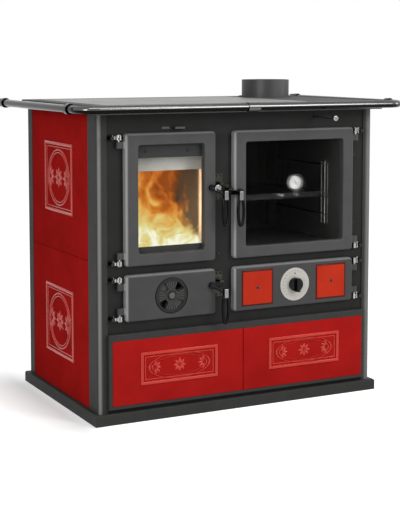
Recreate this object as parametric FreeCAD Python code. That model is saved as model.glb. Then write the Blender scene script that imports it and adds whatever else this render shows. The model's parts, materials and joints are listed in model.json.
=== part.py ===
import FreeCAD, Part
import math
import os

# A wood-fired range cooker: firebox on the left, oven on the right, drawer below.
# Millimetres. X runs to the right, Y to the back, Z up.
# The origin is the centre of the underside of the base plate.

os.makedirs("parts", exist_ok=True)
Vec = FreeCAD.Vector
X_AXIS = Vec(1, 0, 0)
Y_AXIS = Vec(0, 1, 0)
Z_AXIS = Vec(0, 0, 1)

# Overall body over its corner posts
body_width = 870.0
body_depth = 546.0
cooktop_height = 861.0

# Clearances
seat_gap = 0.3            # between a fixed piece and its seat
running_gap = 1.0         # between a door and the frame it closes on
pin_clearance = 0.05      # radial, hinge pins and spindles in their bores
slide_clearance = 0.6     # around a sliding rod or tab
cut_over = 2.0            # how far a cutting tool runs past a face

# Sheet and plate
sheet = 3.0
casing_sheet = 2.0
thin_sheet = 2.0

# Base
base_height = 30.0
base_side_lap = 13.0
base_front_lap = 13.0
base_back_lap = 10.0
base_band = 65.0
base_sheet = 3.0
base_skin = 2.0
base_edge = 3.0

# Cooktop
top_thickness = 24.0
top_side_lap = 15.0
top_front_lap = 33.0
top_back_lap = 7.0
top_skin = 6.0
top_side_band = 28.0
top_front_band = 45.0
top_back_band = 20.0
top_edge = 2.0
hotplate_thickness = 10.0
hotplate_left_border = 42.0
hotplate_front_border = 40.0
hotplate_back_border = 36.0
hotplate_ledge = 10.0
hotplate_right_border = 222.0
hotplate_joint = 1.0
hotplate_edge = 1.2
rim_wall = 6.0
lid_radius = 110.0
lid_front_offset = 9.0
lid_thickness = 8.0
lid_ledge = 8.0
lid_joint = 0.8
lid_slot_length = 30.0
lid_slot_width = 9.0
lid_slot_depth = 4.0
lid_slot_offset = 70.0

# Flue collar
flue_radius = 75.0
flue_wall = 3.5
flue_rise = 55.0
flue_drop = 16.0
flue_side_inset = 124.0
flue_back_inset = 117.0
flue_flange_radius = 85.0
flue_flange_thickness = 4.0

# Corner posts
post_front_leg = 28.0
post_side_leg = 66.0
rear_post_side_leg = 41.0
rear_post_back_leg = 40.0
post_corner_radius = 8.0
post_lip = 14.0

# Side tiles
tile_thickness = 8.0
tile_setback = 1.0
tile_gap = 0.4
tile_split_lift = 3.5
relief_width = 216.0
relief_height = 201.0
relief_band = 9.0
relief_rise = 2.5
relief_corner = 10.0
motif_length = 156.0
motif_height = 134.0
motif_band = 7.0
motif_boss_share = 0.3

# Front frame
frame_thickness = 6.0
frame_setback = 3.0
frame_corner = 8.0

# Doors: outlines on the front
door_proud = 15.0
door_left_margin = 75.0
door_right_margin = 71.0
centre_strip_offset = 59.5
centre_strip_width = 57.0
fascia_height = 52.0
door_row_gap = 24.0
lower_door_height = 126.0
drawer_door_gap = 31.5
door_corner = 10.0
door_edge = 5.0
opening_inset = 16.0
window_left_margin = 38.5
window_right_margin = 35.0
window_top_margin = 32.0
window_bottom_margin = 32.0
window_corner = 8.0
window_edge = 3.0
door_lip_gap = 4.0
door_lip_depth = 10.0
glass_thickness = 4.0
glass_lap = 8.0
glass_setback = 3.0
glass_clip_width = 22.0
glass_clip_reach = 5.0
glass_clip_thickness = 1.6
top_strip_height = 36.0
bottom_strip_height = 17.0
strip_thickness = 2.4
seal_inset = 5.0
seal_width = 8.0
seal_depth = 6.0
door_pocket_inset = 24.0
door_wall = 8.0

# Hinges
hinge_left_offset = 15.0
hinge_right_offset = 12.0
hinge_pin_radius = 3.0
knuckle_radius = 7.6
knuckle_height = 13.0
barrel_height = 18.0
barrel_radius = 7.2
knuckle_end_inset = 4.0
hinge_washer_gap = 4.0
hinge_lug_thickness = 9.0
bracket_foot_radius = 9.5
bracket_foot_left_gap = 0.6
bracket_foot_right_gap = 5.0
bracket_foot_thickness = 4.0
bracket_arm_height = 8.0
bracket_arm_thickness = 9.0
pin_head_radius = 4.4
pin_head_height = 1.6

# Door handles
spindle_radius = 5.0
spindle_inset = 13.0
spindle_edge_inset = 17.0
spindle_web = 1.5
fire_spindle_share = 0.567
oven_spindle_share = 0.5225
ash_spindle_drop = 45.0
boss_radius = 9.5
boss_length = 9.0
tongue_reach = 36.0
tongue_height = 12.0
tongue_thickness = 5.0
clasp_standoff = 45.0
clasp_drop = 20.0
oven_clasp_drop = 7.0
clasp_offset = 29.0
oven_clasp_offset = 11.0
clasp_radius = 8.0
clasp_height = 26.0
arm_radius = 4.6
loop_bar_radius = 4.3
loop_length = 78.0
loop_half_width = 8.8
loop_end_radius = 4.9
loop_seat = 8.0

# Catch plates on the centre strip
catch_width = 25.0
catch_height = 72.0
catch_thickness = 3.0
catch_hole_radius = 2.4
catch_hole_inset = 6.0
oven_catch_width = 22.0
oven_catch_height = 40.0
keeper_height = 6.0
keeper_gap = 1.5
keeper_width = 12.0

# Air regulator on the ash door
disc_radius = 47.5
disc_thickness = 5.0
disc_recess_depth = 5.0
disc_recess_gap = 2.5
disc_slot_inner = 20.0
disc_slot_outer = 41.0
disc_slot_angle = 38.0
disc_slot_count = 4
disc_screw_head_radius = 9.0
disc_screw_head_height = 4.0
disc_screw_radius = 4.0
disc_screw_depth = 8.0

# Control door
control_tile_inset = 25.0
control_tile_margin = 12.5
control_tile_dial_gap = 24.0
control_tile_thickness = 5.0
control_tile_recess = 3.5
control_tile_edge = 1.2
control_screw_radius = 4.0
dial_radius = 47.5
dial_hole_radius = 9.0
dial_thickness = 2.0
knob_radius = 20.0
knob_height = 13.0
knob_grip_height = 10.0
knob_grip_width = 11.0
knob_gap = 0.4
knob_edge = 1.5
knob_shaft_radius = 4.0
knob_shaft_depth = 12.0

# Secondary air slider in the fascia
slot_height = 6.4
slot_corner = 1.5
slot_length = 66.0
slot_drop = 40.0
slot_offset = 116.5
slider_tab_length = 30.0
slider_tab_reach = 12.0
slider_plate_height = 20.0
slider_plate_length = 96.0
slider_plate_thickness = 2.4

# Bypass rod, shown pulled out
rod_radius = 4.0
rod_inset = 122.0
rod_drop = 20.0
rod_reach = 104.0
rod_length = 300.0
rod_knob_radius = 7.5
rod_knob_length = 16.0
rod_knob_socket = 8.0
damper_width = 90.0
damper_length = 110.0
damper_thickness = 3.0

# Handrail
rail_radius = 10.6
rail_wall = 1.6
rail_drop = 9.0
rail_side_offset = 71.0
rail_front_offset = 66.0
rail_back_offset = 27.0
rail_corner_radius = 50.0
rail_cap_radius = 12.6
rail_cap_length = 9.0
sleeve_radius = 13.0
sleeve_length = 36.0
sleeve_gap = 0.1
collar_radius = 14.6
collar_length = 17.0
bracket_front_inset = 50.0
bracket_rear_inset = 12.0
bracket_thickness = 9.0

# Inner casing and hearth
casing_side_inset = 25.0
casing_back_inset = 23.0
partition_thickness = 4.0
hearth_shelf_thickness = 4.0
hearth_drop = 9.0
channel_depth = 39.0
hearth_side_inset = 27.0
hearth_front_inset = 74.0
hearth_back_inset = 105.0
grate_lap = 12.0
grate_thickness = 14.0
grate_bars = 11
grate_slot_share = 0.544
grate_rim = 18.0
lining_thickness = 30.0
lining_setback = 4.0
lining_drop = 15.0
lining_front_inset = 4.0
lining_back_gap = 73.0
baffle_front_inset = 29.0
baffle_drop = 91.0
baffle_thickness = 26.0
baffle_rise = 34.0
baffle_lip_height = 62.0
baffle_lip_thickness = 20.0
baffle_smoke_gap = 95.0
pan_side_gap = 8.0
pan_back_gap = 104.0
pan_height = 62.0
pan_wall = 2.0
pan_grip_width = 90.0
pan_grip_height = 18.0

# Oven
oven_back_gap = 72.0
oven_sheet = 2.0
rack_wire = 2.2
rack_weld = 0.8
rack_overhang = 5.0
rack_post_front = 100.0
rack_back_inset = 60.0
rack_level_shares = (0.236, 0.393, 0.69)
rack_bottom_share = 0.15
tray_front = 90.0
tray_back_gap = 40.0
tray_height = 16.0
tray_wall = 2.0
tray_rim = 3.0
tray_corner = 12.0

# Oven thermometer standing at the front of the tray
gauge_inset = 115.0
gauge_radius = 26.0
gauge_depth = 10.0
gauge_wall = 2.2
gauge_back = 2.0
gauge_lift = 4.0
clip_width = 9.0
clip_thickness = 1.6
clip_drop = 9.0
needle_width = 2.0
needle_length = 34.0
needle_tail = 9.0
needle_thickness = 1.0
needle_standoff = 2.6
needle_pin_radius = 1.4
needle_hub_radius = 3.0

# Drawer
drawer_floor_gap = 11.0
drawer_height = 204.5
drawer_side_margin = 26.0
drawer_proud = 13.0
drawer_edge = 2.0
drawer_recess = 7.0
drawer_web = 2.0
drawer_back_band = 45.0
panel_side_band = 10.0
panel_top_band = 18.0
panel_bottom_band = 9.0
panel_thickness = 8.5
panel_split_gap = 2.0
panel_edge = 1.5
drawer_relief_width = 236.0
drawer_relief_height = 91.0
drawer_relief_lift = 7.0
drawer_motif_length = 168.0
drawer_motif_height = 56.0
drawer_back_gap = 92.0
drawer_box_wall = 1.5
drawer_box_headroom = 37.0
drawer_box_inset = 26.0
runner_gap = 0.5
runner_sheet = 3.0
runner_flange = 16.0
runner_height = 44.0
drawer_opening_inset = 10.0
runner_lift = 18.0

# Back panel
back_panel_sheet = 2.0
back_rib_depth = 6.0
back_rib_width = 40.0
back_rib_count = 4

# Worked out from the sizes above
half_width = body_width / 2
front_y = -body_depth / 2
back_y = body_depth / 2
top_under = cooktop_height - top_thickness
post_fold = post_corner_radius - sheet
post_inner_x = half_width - sheet - post_fold
tile_split_height = (base_height + top_under) / 2 + tile_split_lift

frame_face = front_y + frame_setback
frame_back = frame_face + frame_thickness
door_front = front_y - door_proud
door_back = frame_face - running_gap
centre_strip_x = -centre_strip_offset
fire_left = -half_width + door_left_margin
fire_right = centre_strip_x - centre_strip_width / 2
oven_left = centre_strip_x + centre_strip_width / 2
oven_right = half_width - door_right_margin
fire_centre = (fire_left + fire_right) / 2
oven_centre = (oven_left + oven_right) / 2
hinge_y = (door_front + door_back) / 2
hinge_left_x = fire_left - hinge_left_offset
hinge_right_x = oven_right + hinge_right_offset
glass_front = door_back + glass_setback
spindle_bore_end = door_back - seal_depth - spindle_web

drawer_front_y = front_y - drawer_proud
drawer_back_y = front_y - running_gap
drawer_bottom = base_height + drawer_floor_gap
drawer_top = drawer_bottom + drawer_height
drawer_side = half_width - drawer_side_margin
drawer_box_side = drawer_side - drawer_box_inset
drawer_box_back = back_y - drawer_back_gap
drawer_floor_z = base_height + runner_lift + runner_gap
drawer_box_height = drawer_top - drawer_opening_inset - drawer_floor_z - drawer_box_headroom
lower_door_bottom = drawer_top + drawer_door_gap
lower_door_top = lower_door_bottom + lower_door_height
lower_door_middle = (lower_door_bottom + lower_door_top) / 2
upper_door_bottom = lower_door_top + door_row_gap
upper_door_top = top_under - fascia_height
upper_door_height = upper_door_top - upper_door_bottom
fire_spindle_z = upper_door_bottom + upper_door_height * fire_spindle_share
oven_spindle_z = upper_door_bottom + upper_door_height * oven_spindle_share
ash_spindle_z = lower_door_top - ash_spindle_drop
control_tile_height = lower_door_height - control_tile_margin * 2
control_tile_width = ((oven_right - oven_left) / 2 - control_tile_inset
                      - control_tile_dial_gap - dial_radius)
slot_left_x = fire_left + slot_offset
slot_centre_z = top_under - slot_drop
rod_x = oven_right - rod_inset
rod_z = top_under - rod_drop

casing_left = -half_width + casing_side_inset
casing_right = half_width - casing_side_inset
casing_back = back_y - casing_back_inset
casing_inner_back = casing_back - casing_sheet
casing_floor_top = lower_door_bottom + opening_inset
casing_floor = casing_floor_top - casing_sheet
hearth_shelf_height = upper_door_bottom - hearth_drop
hearth_top = hearth_shelf_height + hearth_shelf_thickness
channel_shelf_height = upper_door_bottom + opening_inset - oven_sheet - channel_depth
partition_left = centre_strip_x - partition_thickness / 2
partition_right = centre_strip_x + partition_thickness / 2
lining_top = upper_door_top - lining_drop
lining_rear_y = casing_inner_back - lining_back_gap
lining_left_x = fire_left + opening_inset - lining_setback
lining_right_x = fire_right - opening_inset + lining_setback
hearth_hole_left = lining_left_x + hearth_side_inset
hearth_hole_right = lining_right_x - hearth_side_inset
hearth_hole_front = frame_back + hearth_front_inset
hearth_hole_back = lining_rear_y - hearth_back_inset
pan_back_y = casing_inner_back - pan_back_gap

cavity_left = oven_left + opening_inset
cavity_right = oven_right - opening_inset
cavity_bottom = upper_door_bottom + opening_inset
cavity_top = upper_door_top - opening_inset
oven_box_back = casing_inner_back - oven_back_gap
rack_front_y = frame_back + rack_post_front
rack_back_y = oven_box_back - rack_back_inset
rack_levels = [cavity_bottom + (cavity_top - cavity_bottom) * share for share in rack_level_shares]
rack_bottom = cavity_bottom + (cavity_top - cavity_bottom) * rack_bottom_share
tray_z = rack_levels[1] + rack_wire + seat_gap
tray_top = tray_z + tray_height
tray_front_y = frame_back + tray_front
gauge_x = cavity_right - gauge_inset
gauge_z = tray_top + gauge_lift + gauge_radius
gauge_front_y = tray_front_y - seat_gap - gauge_depth

plate_left = -half_width - top_side_lap
plate_right = half_width + top_side_lap
plate_front = front_y - top_front_lap
plate_back = back_y + top_back_lap
hotplate_left = plate_left + hotplate_left_border
hotplate_right = plate_right - hotplate_right_border
hotplate_front = plate_front + hotplate_front_border
hotplate_back = plate_back - hotplate_back_border
lid_centre_y = (hotplate_front + hotplate_back) / 2 - lid_front_offset
flue_x = plate_right - flue_side_inset
flue_y = plate_back - flue_back_inset
rail_side_x = half_width + rail_side_offset
rail_front_y = front_y - rail_front_offset
rail_back_y = back_y + rail_back_offset
rail_z = cooktop_height - rail_drop
bracket_front_y = plate_front + bracket_front_inset
bracket_rear_y = plate_back - bracket_rear_inset


# Shared shapes

def block(x0, x1, y0, y1, z0, z1):
    return Part.makeBox(x1 - x0, y1 - y0, z1 - z0, Vec(x0, y0, z0))


def rod(radius, start, end):
    path = end.sub(start)
    return Part.makeCylinder(radius, path.Length, start, path)


def rod_y(radius, x, z, y0, y1):
    return Part.makeCylinder(radius, y1 - y0, Vec(x, y0, z), Y_AXIS)


def rod_z_up(radius, x, y, z0, z1):
    return Part.makeCylinder(radius, z1 - z0, Vec(x, y, z0), Z_AXIS)


def rounded_block(x0, x1, y0, y1, z0, z1, radius, axis):
    # A block whose four edges along one axis are rounded
    solid = block(x0, x1, y0, y1, z0, z1)
    sides = {"x": (y1 - y0, z1 - z0), "y": (x1 - x0, z1 - z0), "z": (x1 - x0, y1 - y0)}
    limit = min(sides[axis]) / 2 * 0.98
    along = {"x": X_AXIS, "y": Y_AXIS, "z": Z_AXIS}[axis]
    edges = [e for e in solid.Edges if abs(e.tangentAt(e.FirstParameter).dot(along)) > 0.99]
    return solid.makeFillet(min(radius, limit), edges)


def edges_on_plane(solid, y, inside=None):
    # Edges lying in the plane at y, all of them or those inside a box (x0, x1, z0, z1)
    found = []
    for edge in solid.Edges:
        box = edge.BoundBox
        flat = abs(box.YMin - y) < 0.001 and abs(box.YMax - y) < 0.001
        if not flat:
            continue
        if inside is not None:
            within_x = box.XMin > inside[0] and box.XMax < inside[1]
            within_z = box.ZMin > inside[2] and box.ZMax < inside[3]
            if not (within_x and within_z):
                continue
        found.append(edge)
    return found


def soften_front(solid, y, radius, inside=None):
    return solid.makeFillet(radius, edges_on_plane(solid, y, inside))


def front_slab(x0, x1, z0, z1, y0, y1, corner, edge):
    # An upright slab facing the front, with rounded corners and a softened front rim
    solid = rounded_block(x0, x1, y0, y1, z0, z1, corner, "y")
    limit = min(edge, (y1 - y0) * 0.6, corner * 0.9)
    return soften_front(solid, y0, limit)


def frame_ring(x0, x1, z0, z1, y0, y1, band, corner):
    # A rectangular ring facing the front or back
    outer = rounded_block(x0, x1, y0, y1, z0, z1, corner, "y")
    inner_corner = max(corner - band, corner * 0.25)
    inner = rounded_block(x0 + band, x1 - band, y0 - cut_over, y1 + cut_over,
                          z0 + band, z1 - band, inner_corner, "y")
    return outer.cut(inner)


def oval_prism(length, height, depth):
    # An oval in the XZ plane about the origin, with its depth along Y
    outline = Part.Ellipse(Vec(0, 0, 0), length / 2, height / 2).toShape()
    outline.rotate(Vec(0, 0, 0), X_AXIS, 90)
    return Part.Face(Part.Wire([outline])).extrude(Vec(0, depth, 0))


def relief(width, height, motif_x, motif_z, depth):
    # Raised border with a plain oval ring and an oval boss, facing -Y, centred on X and Z.
    # It stands from y = 0 to y = depth.
    border = frame_ring(-width / 2, width / 2, -height / 2, height / 2, 0, depth,
                        relief_band, relief_corner)
    hole = oval_prism(motif_x - motif_band * 2, motif_z - motif_band * 2, depth + cut_over * 2)
    hole.translate(Vec(0, -cut_over, 0))
    boss = oval_prism(motif_x * motif_boss_share, motif_z * motif_boss_share, depth)
    return [border, oval_prism(motif_x, motif_z, depth).cut(hole), boss]


def fuse_all(shapes):
    return shapes[0].multiFuse(shapes[1:]).removeSplitter()


def save(name, shapes):
    # One file for each sub-part; a group of like pieces is a compound of solids
    solids = shapes if isinstance(shapes, list) else [shapes]
    flat = []
    for shape in solids:
        flat.extend(shape.Solids)
    result = flat[0] if len(flat) == 1 else Part.makeCompound(flat)
    result.exportStep("parts/" + name + ".step")
    bad = [s for s in flat if not s.isValid() or s.Volume <= 0]
    print(name, len(flat), "solids", round(result.Volume / 1000, 1), "cm3", "bad", len(bad))


# Base and carcass

def base_plate():
    x1 = half_width + base_side_lap
    y0 = front_y - base_front_lap
    y1 = back_y + base_back_lap
    solid = block(-x1, x1, y0, y1, 0, base_height)
    rim = [e for e in solid.Edges
           if abs(e.BoundBox.ZMin - base_height) < 0.001 and abs(e.BoundBox.ZMax - base_height) < 0.001]
    solid = solid.makeChamfer(base_edge, rim)
    hollow = block(-x1 + base_sheet, x1 - base_sheet, y0 + base_sheet, y1 - base_sheet,
                   base_skin, base_height - base_sheet)
    well = block(-x1 + base_band, x1 - base_band, y0 + base_band, y1 - base_band,
                 base_height - base_sheet * 2, base_height + cut_over)
    return solid.cut(hollow).cut(well)


def post_profile(front_leg, side_leg, z0, z1):
    # An angle post at the front left corner, with a lip that backs the tile
    outer = block(-half_width, -half_width + front_leg, front_y, front_y + side_leg, z0, z1)
    edge = [e for e in outer.Edges
            if abs(e.BoundBox.XMax + half_width) < 0.001 and abs(e.BoundBox.YMax - front_y) < 0.001]
    outer = outer.makeFillet(post_corner_radius, edge)
    inner = block(-half_width + sheet, -half_width + front_leg + cut_over, front_y + sheet,
                  front_y + side_leg + cut_over, z0 - cut_over, z1 + cut_over)
    inner_edge = [e for e in inner.Edges
                  if abs(e.BoundBox.XMax + half_width - sheet) < 0.001
                  and abs(e.BoundBox.YMax - front_y - sheet) < 0.001]
    inner = inner.makeFillet(post_fold, inner_edge)
    shell = outer.cut(inner)
    lip_x = -half_width + tile_setback + tile_thickness
    step_y = front_y + side_leg
    step = block(-half_width, lip_x + thin_sheet, step_y - sheet, step_y, z0, z1)
    lip = block(lip_x, lip_x + thin_sheet, step_y, step_y + post_lip, z0, z1)
    return fuse_all([shell, step, lip])


def mirror_x(shape):
    return shape.mirror(Vec(0, 0, 0), X_AXIS)


def mirror_y(shape):
    return shape.mirror(Vec(0, 0, 0), Y_AXIS)


def front_post():
    return post_profile(post_front_leg, post_side_leg, base_height, top_under)


def rear_posts():
    left = mirror_y(post_profile(rear_post_back_leg, rear_post_side_leg, base_height, top_under))
    return [left, mirror_x(left)]


def door_outlines():
    return {
        "fire": (fire_left, fire_right, upper_door_bottom, upper_door_top),
        "ash": (fire_left, fire_right, lower_door_bottom, lower_door_top),
        "oven": (oven_left, oven_right, upper_door_bottom, upper_door_top),
        "control": (oven_left, oven_right, lower_door_bottom, lower_door_top),
    }


def front_frame():
    x1 = post_inner_x
    solid = block(-x1, x1, frame_face, frame_back, base_height, top_under)
    y0 = frame_face - cut_over
    y1 = frame_back + cut_over
    for outline in door_outlines().values():
        hole = rounded_block(outline[0] + opening_inset, outline[1] - opening_inset, y0, y1,
                             outline[2] + opening_inset, outline[3] - opening_inset,
                             frame_corner, "y")
        solid = solid.cut(hole)
    drawer_x = drawer_side - drawer_opening_inset
    drawer_hole = block(-drawer_x, drawer_x, y0, y1, drawer_bottom + seat_gap,
                        drawer_top - drawer_opening_inset)
    slot = rounded_block(slot_left_x, slot_left_x + slot_length, y0, y1,
                         slot_centre_z - slot_height / 2, slot_centre_z + slot_height / 2,
                         slot_corner, "y")
    rod_hole = rod_y(rod_radius + slide_clearance, rod_x, rod_z, y0, y1)
    return solid.cut(drawer_hole).cut(slot).cut(rod_hole)


def back_panel():
    x1 = post_inner_x - seat_gap
    y1 = back_y - sheet - seat_gap
    panel = block(-x1, x1, y1 - back_panel_sheet, y1, base_height, top_under)
    span = (top_under - base_height) / (back_rib_count + 1)
    ribs = []
    rib_x = x1 - rear_post_back_leg - back_rib_width
    for index in range(back_rib_count):
        z = base_height + span * (index + 1)
        ribs.append(block(-rib_x, rib_x, y1 - back_rib_depth, y1 - back_panel_sheet,
                          z - back_rib_width / 2, z + back_rib_width / 2))
    return fuse_all([panel] + ribs)


def side_tile(z0, z1):
    # A tile on the left side, facing -X, with its relief raised on the face
    y0 = front_y + post_side_leg + tile_gap
    y1 = back_y - rear_post_side_leg - tile_gap
    x0 = -half_width + tile_setback
    panel = rounded_block(x0, x0 + tile_thickness, y0, y1, z0 + tile_gap, z1 - tile_gap, tile_gap, "x")
    pattern = relief(relief_width, relief_height, motif_length, motif_height, relief_rise + tile_setback)
    raised = []
    for piece in pattern:
        piece.rotate(Vec(0, 0, 0), Z_AXIS, -90)
        piece.translate(Vec(x0 - relief_rise, (y0 + y1) / 2, (z0 + z1) / 2))
        raised.append(piece)
    return fuse_all([panel] + raised)


def inner_casing():
    x0 = casing_left
    x1 = casing_right
    y0 = frame_back
    y1 = casing_back
    outer = block(x0, x1, y0, y1, casing_floor, top_under)
    inner = block(x0 + casing_sheet, x1 - casing_sheet, y0 - cut_over, y1 - casing_sheet,
                  casing_floor_top, top_under + cut_over)
    shell = outer.cut(inner)
    partition = block(partition_left, partition_right, y0, y1 - casing_sheet,
                      casing_floor_top, upper_door_top)
    hearth = block(x0 + casing_sheet, partition_left, y0, y1 - casing_sheet,
                   hearth_shelf_height, hearth_top)
    hole = block(hearth_hole_left, hearth_hole_right,
                 hearth_hole_front, hearth_hole_back,
                 hearth_shelf_height - cut_over, hearth_top + cut_over)
    channel = block(partition_right, x1 - casing_sheet, y0, y1 - casing_sheet,
                    channel_shelf_height, channel_shelf_height + casing_sheet)
    return fuse_all([shell, partition, hearth.cut(hole), channel])


# Hearth

def lining_side(left_side):
    y0 = frame_back + lining_front_inset
    if left_side:
        x0 = lining_left_x - lining_thickness
        x1 = lining_left_x
    else:
        x0 = lining_right_x
        x1 = lining_right_x + lining_thickness
    return block(x0, x1, y0, lining_rear_y, hearth_top, lining_top)


def lining_rear():
    return block(lining_left_x - lining_thickness, lining_right_x + lining_thickness, lining_rear_y,
                 lining_rear_y + lining_thickness, hearth_top, lining_top)


def grate():
    x0 = hearth_hole_left - grate_lap
    x1 = hearth_hole_right + grate_lap
    y0 = hearth_hole_front - grate_lap
    y1 = hearth_hole_back + grate_lap
    solid = block(x0, x1, y0, y1, hearth_top, hearth_top + grate_thickness)
    inner_width = x1 - x0 - grate_rim * 2
    pitch = inner_width / grate_bars
    slot_half = pitch * grate_slot_share / 2
    for index in range(grate_bars):
        x = x0 + grate_rim + pitch * (index + 0.5)
        slot = rounded_block(x - slot_half, x + slot_half, y0 + grate_rim, y1 - grate_rim,
                             hearth_top - cut_over, hearth_top + grate_thickness + cut_over, slot_half, "z")
        solid = solid.cut(slot)
    return solid


def baffle_plate():
    # A slab that rises to the rear, with an upright lip at its front
    x = lining_left_x + seat_gap
    y0 = frame_back + baffle_front_inset
    y1 = lining_rear_y - baffle_smoke_gap
    z0 = cavity_top - baffle_drop
    lip_y = y0 + baffle_lip_thickness
    outline = [
        Vec(x, y0, z0),
        Vec(x, y1, z0 + baffle_rise),
        Vec(x, y1, z0 + baffle_rise + baffle_thickness),
        Vec(x, lip_y, z0 + baffle_thickness),
        Vec(x, lip_y, z0 + baffle_lip_height),
        Vec(x, y0, z0 + baffle_lip_height),
    ]
    face = Part.Face(Part.makePolygon(outline + outline[:1]))
    return face.extrude(Vec(lining_right_x - lining_left_x - seat_gap * 2, 0, 0))


def ash_pan():
    x0 = fire_left + opening_inset + pan_side_gap
    x1 = fire_right - opening_inset - pan_side_gap
    y0 = frame_back + pan_side_gap
    z0 = casing_floor_top + seat_gap
    outer = block(x0, x1, y0, pan_back_y, z0, z0 + pan_height)
    inner = block(x0 + pan_wall, x1 - pan_wall, y0 + pan_wall, pan_back_y - pan_wall,
                  z0 + pan_wall, z0 + pan_height + cut_over)
    grip = block(fire_centre - pan_grip_width / 2, fire_centre + pan_grip_width / 2,
                 y0 - pan_side_gap / 2, y0, z0 + pan_height - pan_grip_height, z0 + pan_height)
    return fuse_all([outer.cut(inner), grip])


# Oven

def oven_box():
    outer = block(cavity_left - oven_sheet, cavity_right + oven_sheet, frame_back,
                  oven_box_back + oven_sheet, cavity_bottom - oven_sheet, cavity_top + oven_sheet)
    inner = rounded_block(cavity_left, cavity_right, frame_back - cut_over, oven_box_back,
                          cavity_bottom, cavity_top, frame_corner, "y")
    return outer.cut(inner)


def side_rack(wall_x, inward):
    # Two upright wires on the oven wall carry level wires along the depth
    post_x = wall_x + inward * (rack_wire + seat_gap)
    run_x = post_x + inward * (rack_wire * 2 - rack_weld)
    z1 = rack_levels[-1] + rack_wire * 4
    pieces = []
    for y in (rack_front_y, rack_back_y):
        pieces.append(rod_z_up(rack_wire, post_x, y, rack_bottom, z1))
    for z in rack_levels:
        pieces.append(rod_y(rack_wire, run_x, z, rack_front_y - rack_overhang, rack_back_y + rack_overhang))
    return fuse_all(pieces)


def oven_side_racks():
    return [side_rack(cavity_left, 1), side_rack(cavity_right, -1)]


def oven_tray():
    x0 = cavity_left + rack_wire * 2 + seat_gap * 2
    x1 = cavity_right - rack_wire * 2 - seat_gap * 2
    y0 = tray_front_y
    y1 = oven_box_back - tray_back_gap
    outer = rounded_block(x0, x1, y0, y1, tray_z, tray_top, tray_corner, "z")
    inner = rounded_block(x0 + tray_rim, x1 - tray_rim, y0 + tray_rim, y1 - tray_rim,
                          tray_z + tray_wall, tray_top + cut_over, tray_corner - tray_rim, "z")
    return outer.cut(inner)


def thermometer_case():
    y = gauge_front_y
    z = gauge_z
    cup = rod_y(gauge_radius, gauge_x, z, y, y + gauge_depth)
    hollow = rod_y(gauge_radius - gauge_wall, gauge_x, z, y - cut_over, y + gauge_depth - gauge_back)
    pin = rod_y(needle_pin_radius, gauge_x, z, y + gauge_wall, y + gauge_depth)
    clip_x0 = gauge_x - clip_width / 2
    clip_x1 = gauge_x + clip_width / 2
    inside_y = tray_front_y + tray_rim + seat_gap
    leg = block(clip_x0, clip_x1, y + gauge_depth - gauge_back, y + gauge_depth,
                tray_top - clip_drop, z - gauge_radius / 2)
    bridge = block(clip_x0, clip_x1, y + gauge_depth - gauge_back, inside_y + clip_thickness,
                   tray_top + seat_gap, tray_top + seat_gap + clip_thickness)
    hook = block(clip_x0, clip_x1, inside_y, inside_y + clip_thickness,
                 tray_top - clip_drop, tray_top + seat_gap + clip_thickness)
    return fuse_all([cup.cut(hollow), pin, leg, bridge, hook])


def thermometer_needle():
    z = gauge_z
    back = gauge_front_y + gauge_depth - gauge_back - needle_standoff
    bar = block(gauge_x - needle_width / 2, gauge_x + needle_width / 2, back - needle_thickness, back,
                z - needle_tail, z + needle_length - gauge_wall * 4 - needle_tail)
    bar.rotate(Vec(gauge_x, 0, z), Y_AXIS, -32)
    hub = rod_y(needle_hub_radius, gauge_x, z, back - needle_thickness, back)
    bore = rod_y(needle_pin_radius + pin_clearance, gauge_x, z, back - needle_thickness - cut_over,
                 back + cut_over)
    return fuse_all([bar, hub]).cut(bore)


# Cooktop

def top_frame():
    solid = block(plate_left, plate_right, plate_front, plate_back, top_under, cooktop_height)
    rim = [e for e in solid.Edges if abs(e.BoundBox.ZMin - cooktop_height) < 0.001]
    corners = [e for e in solid.Edges if e.BoundBox.ZLength > top_thickness / 2]
    solid = solid.makeFillet(top_edge, rim + corners)
    seat = block(hotplate_left, hotplate_right, hotplate_front, hotplate_back,
                 cooktop_height - hotplate_thickness, cooktop_height + cut_over)
    through = block(hotplate_left + hotplate_ledge, hotplate_right - hotplate_ledge,
                    hotplate_front + hotplate_ledge, hotplate_back - hotplate_ledge,
                    top_under - cut_over, cooktop_height + cut_over)
    under = block(plate_left + top_side_band, plate_right - top_side_band,
                  plate_front + top_front_band, plate_back - top_back_band,
                  top_under - cut_over, cooktop_height - top_skin)
    keep = block(hotplate_left - rim_wall, hotplate_right + rim_wall, hotplate_front - rim_wall,
                 hotplate_back + rim_wall, top_under - cut_over, cooktop_height)
    pocket = under.cut(keep)
    flue_hole = rod_z_up(flue_radius + seat_gap, flue_x, flue_y, top_under - cut_over,
                         cooktop_height + cut_over)
    return solid.cut(seat).cut(through).cut(pocket).cut(flue_hole)


def hotplate():
    z0 = cooktop_height - hotplate_thickness
    solid = block(hotplate_left + hotplate_joint, hotplate_right - hotplate_joint,
                  hotplate_front + hotplate_joint, hotplate_back - hotplate_joint, z0, cooktop_height)
    rim = [e for e in solid.Edges if abs(e.BoundBox.ZMin - cooktop_height) < 0.001]
    solid = solid.makeChamfer(hotplate_edge, rim)
    seat = rod_z_up(lid_radius + lid_joint, fire_centre, lid_centre_y, cooktop_height - lid_thickness,
                    cooktop_height + cut_over)
    through = rod_z_up(lid_radius - lid_ledge, fire_centre, lid_centre_y, z0 - cut_over,
                       cooktop_height + cut_over)
    return solid.cut(seat).cut(through)


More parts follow.
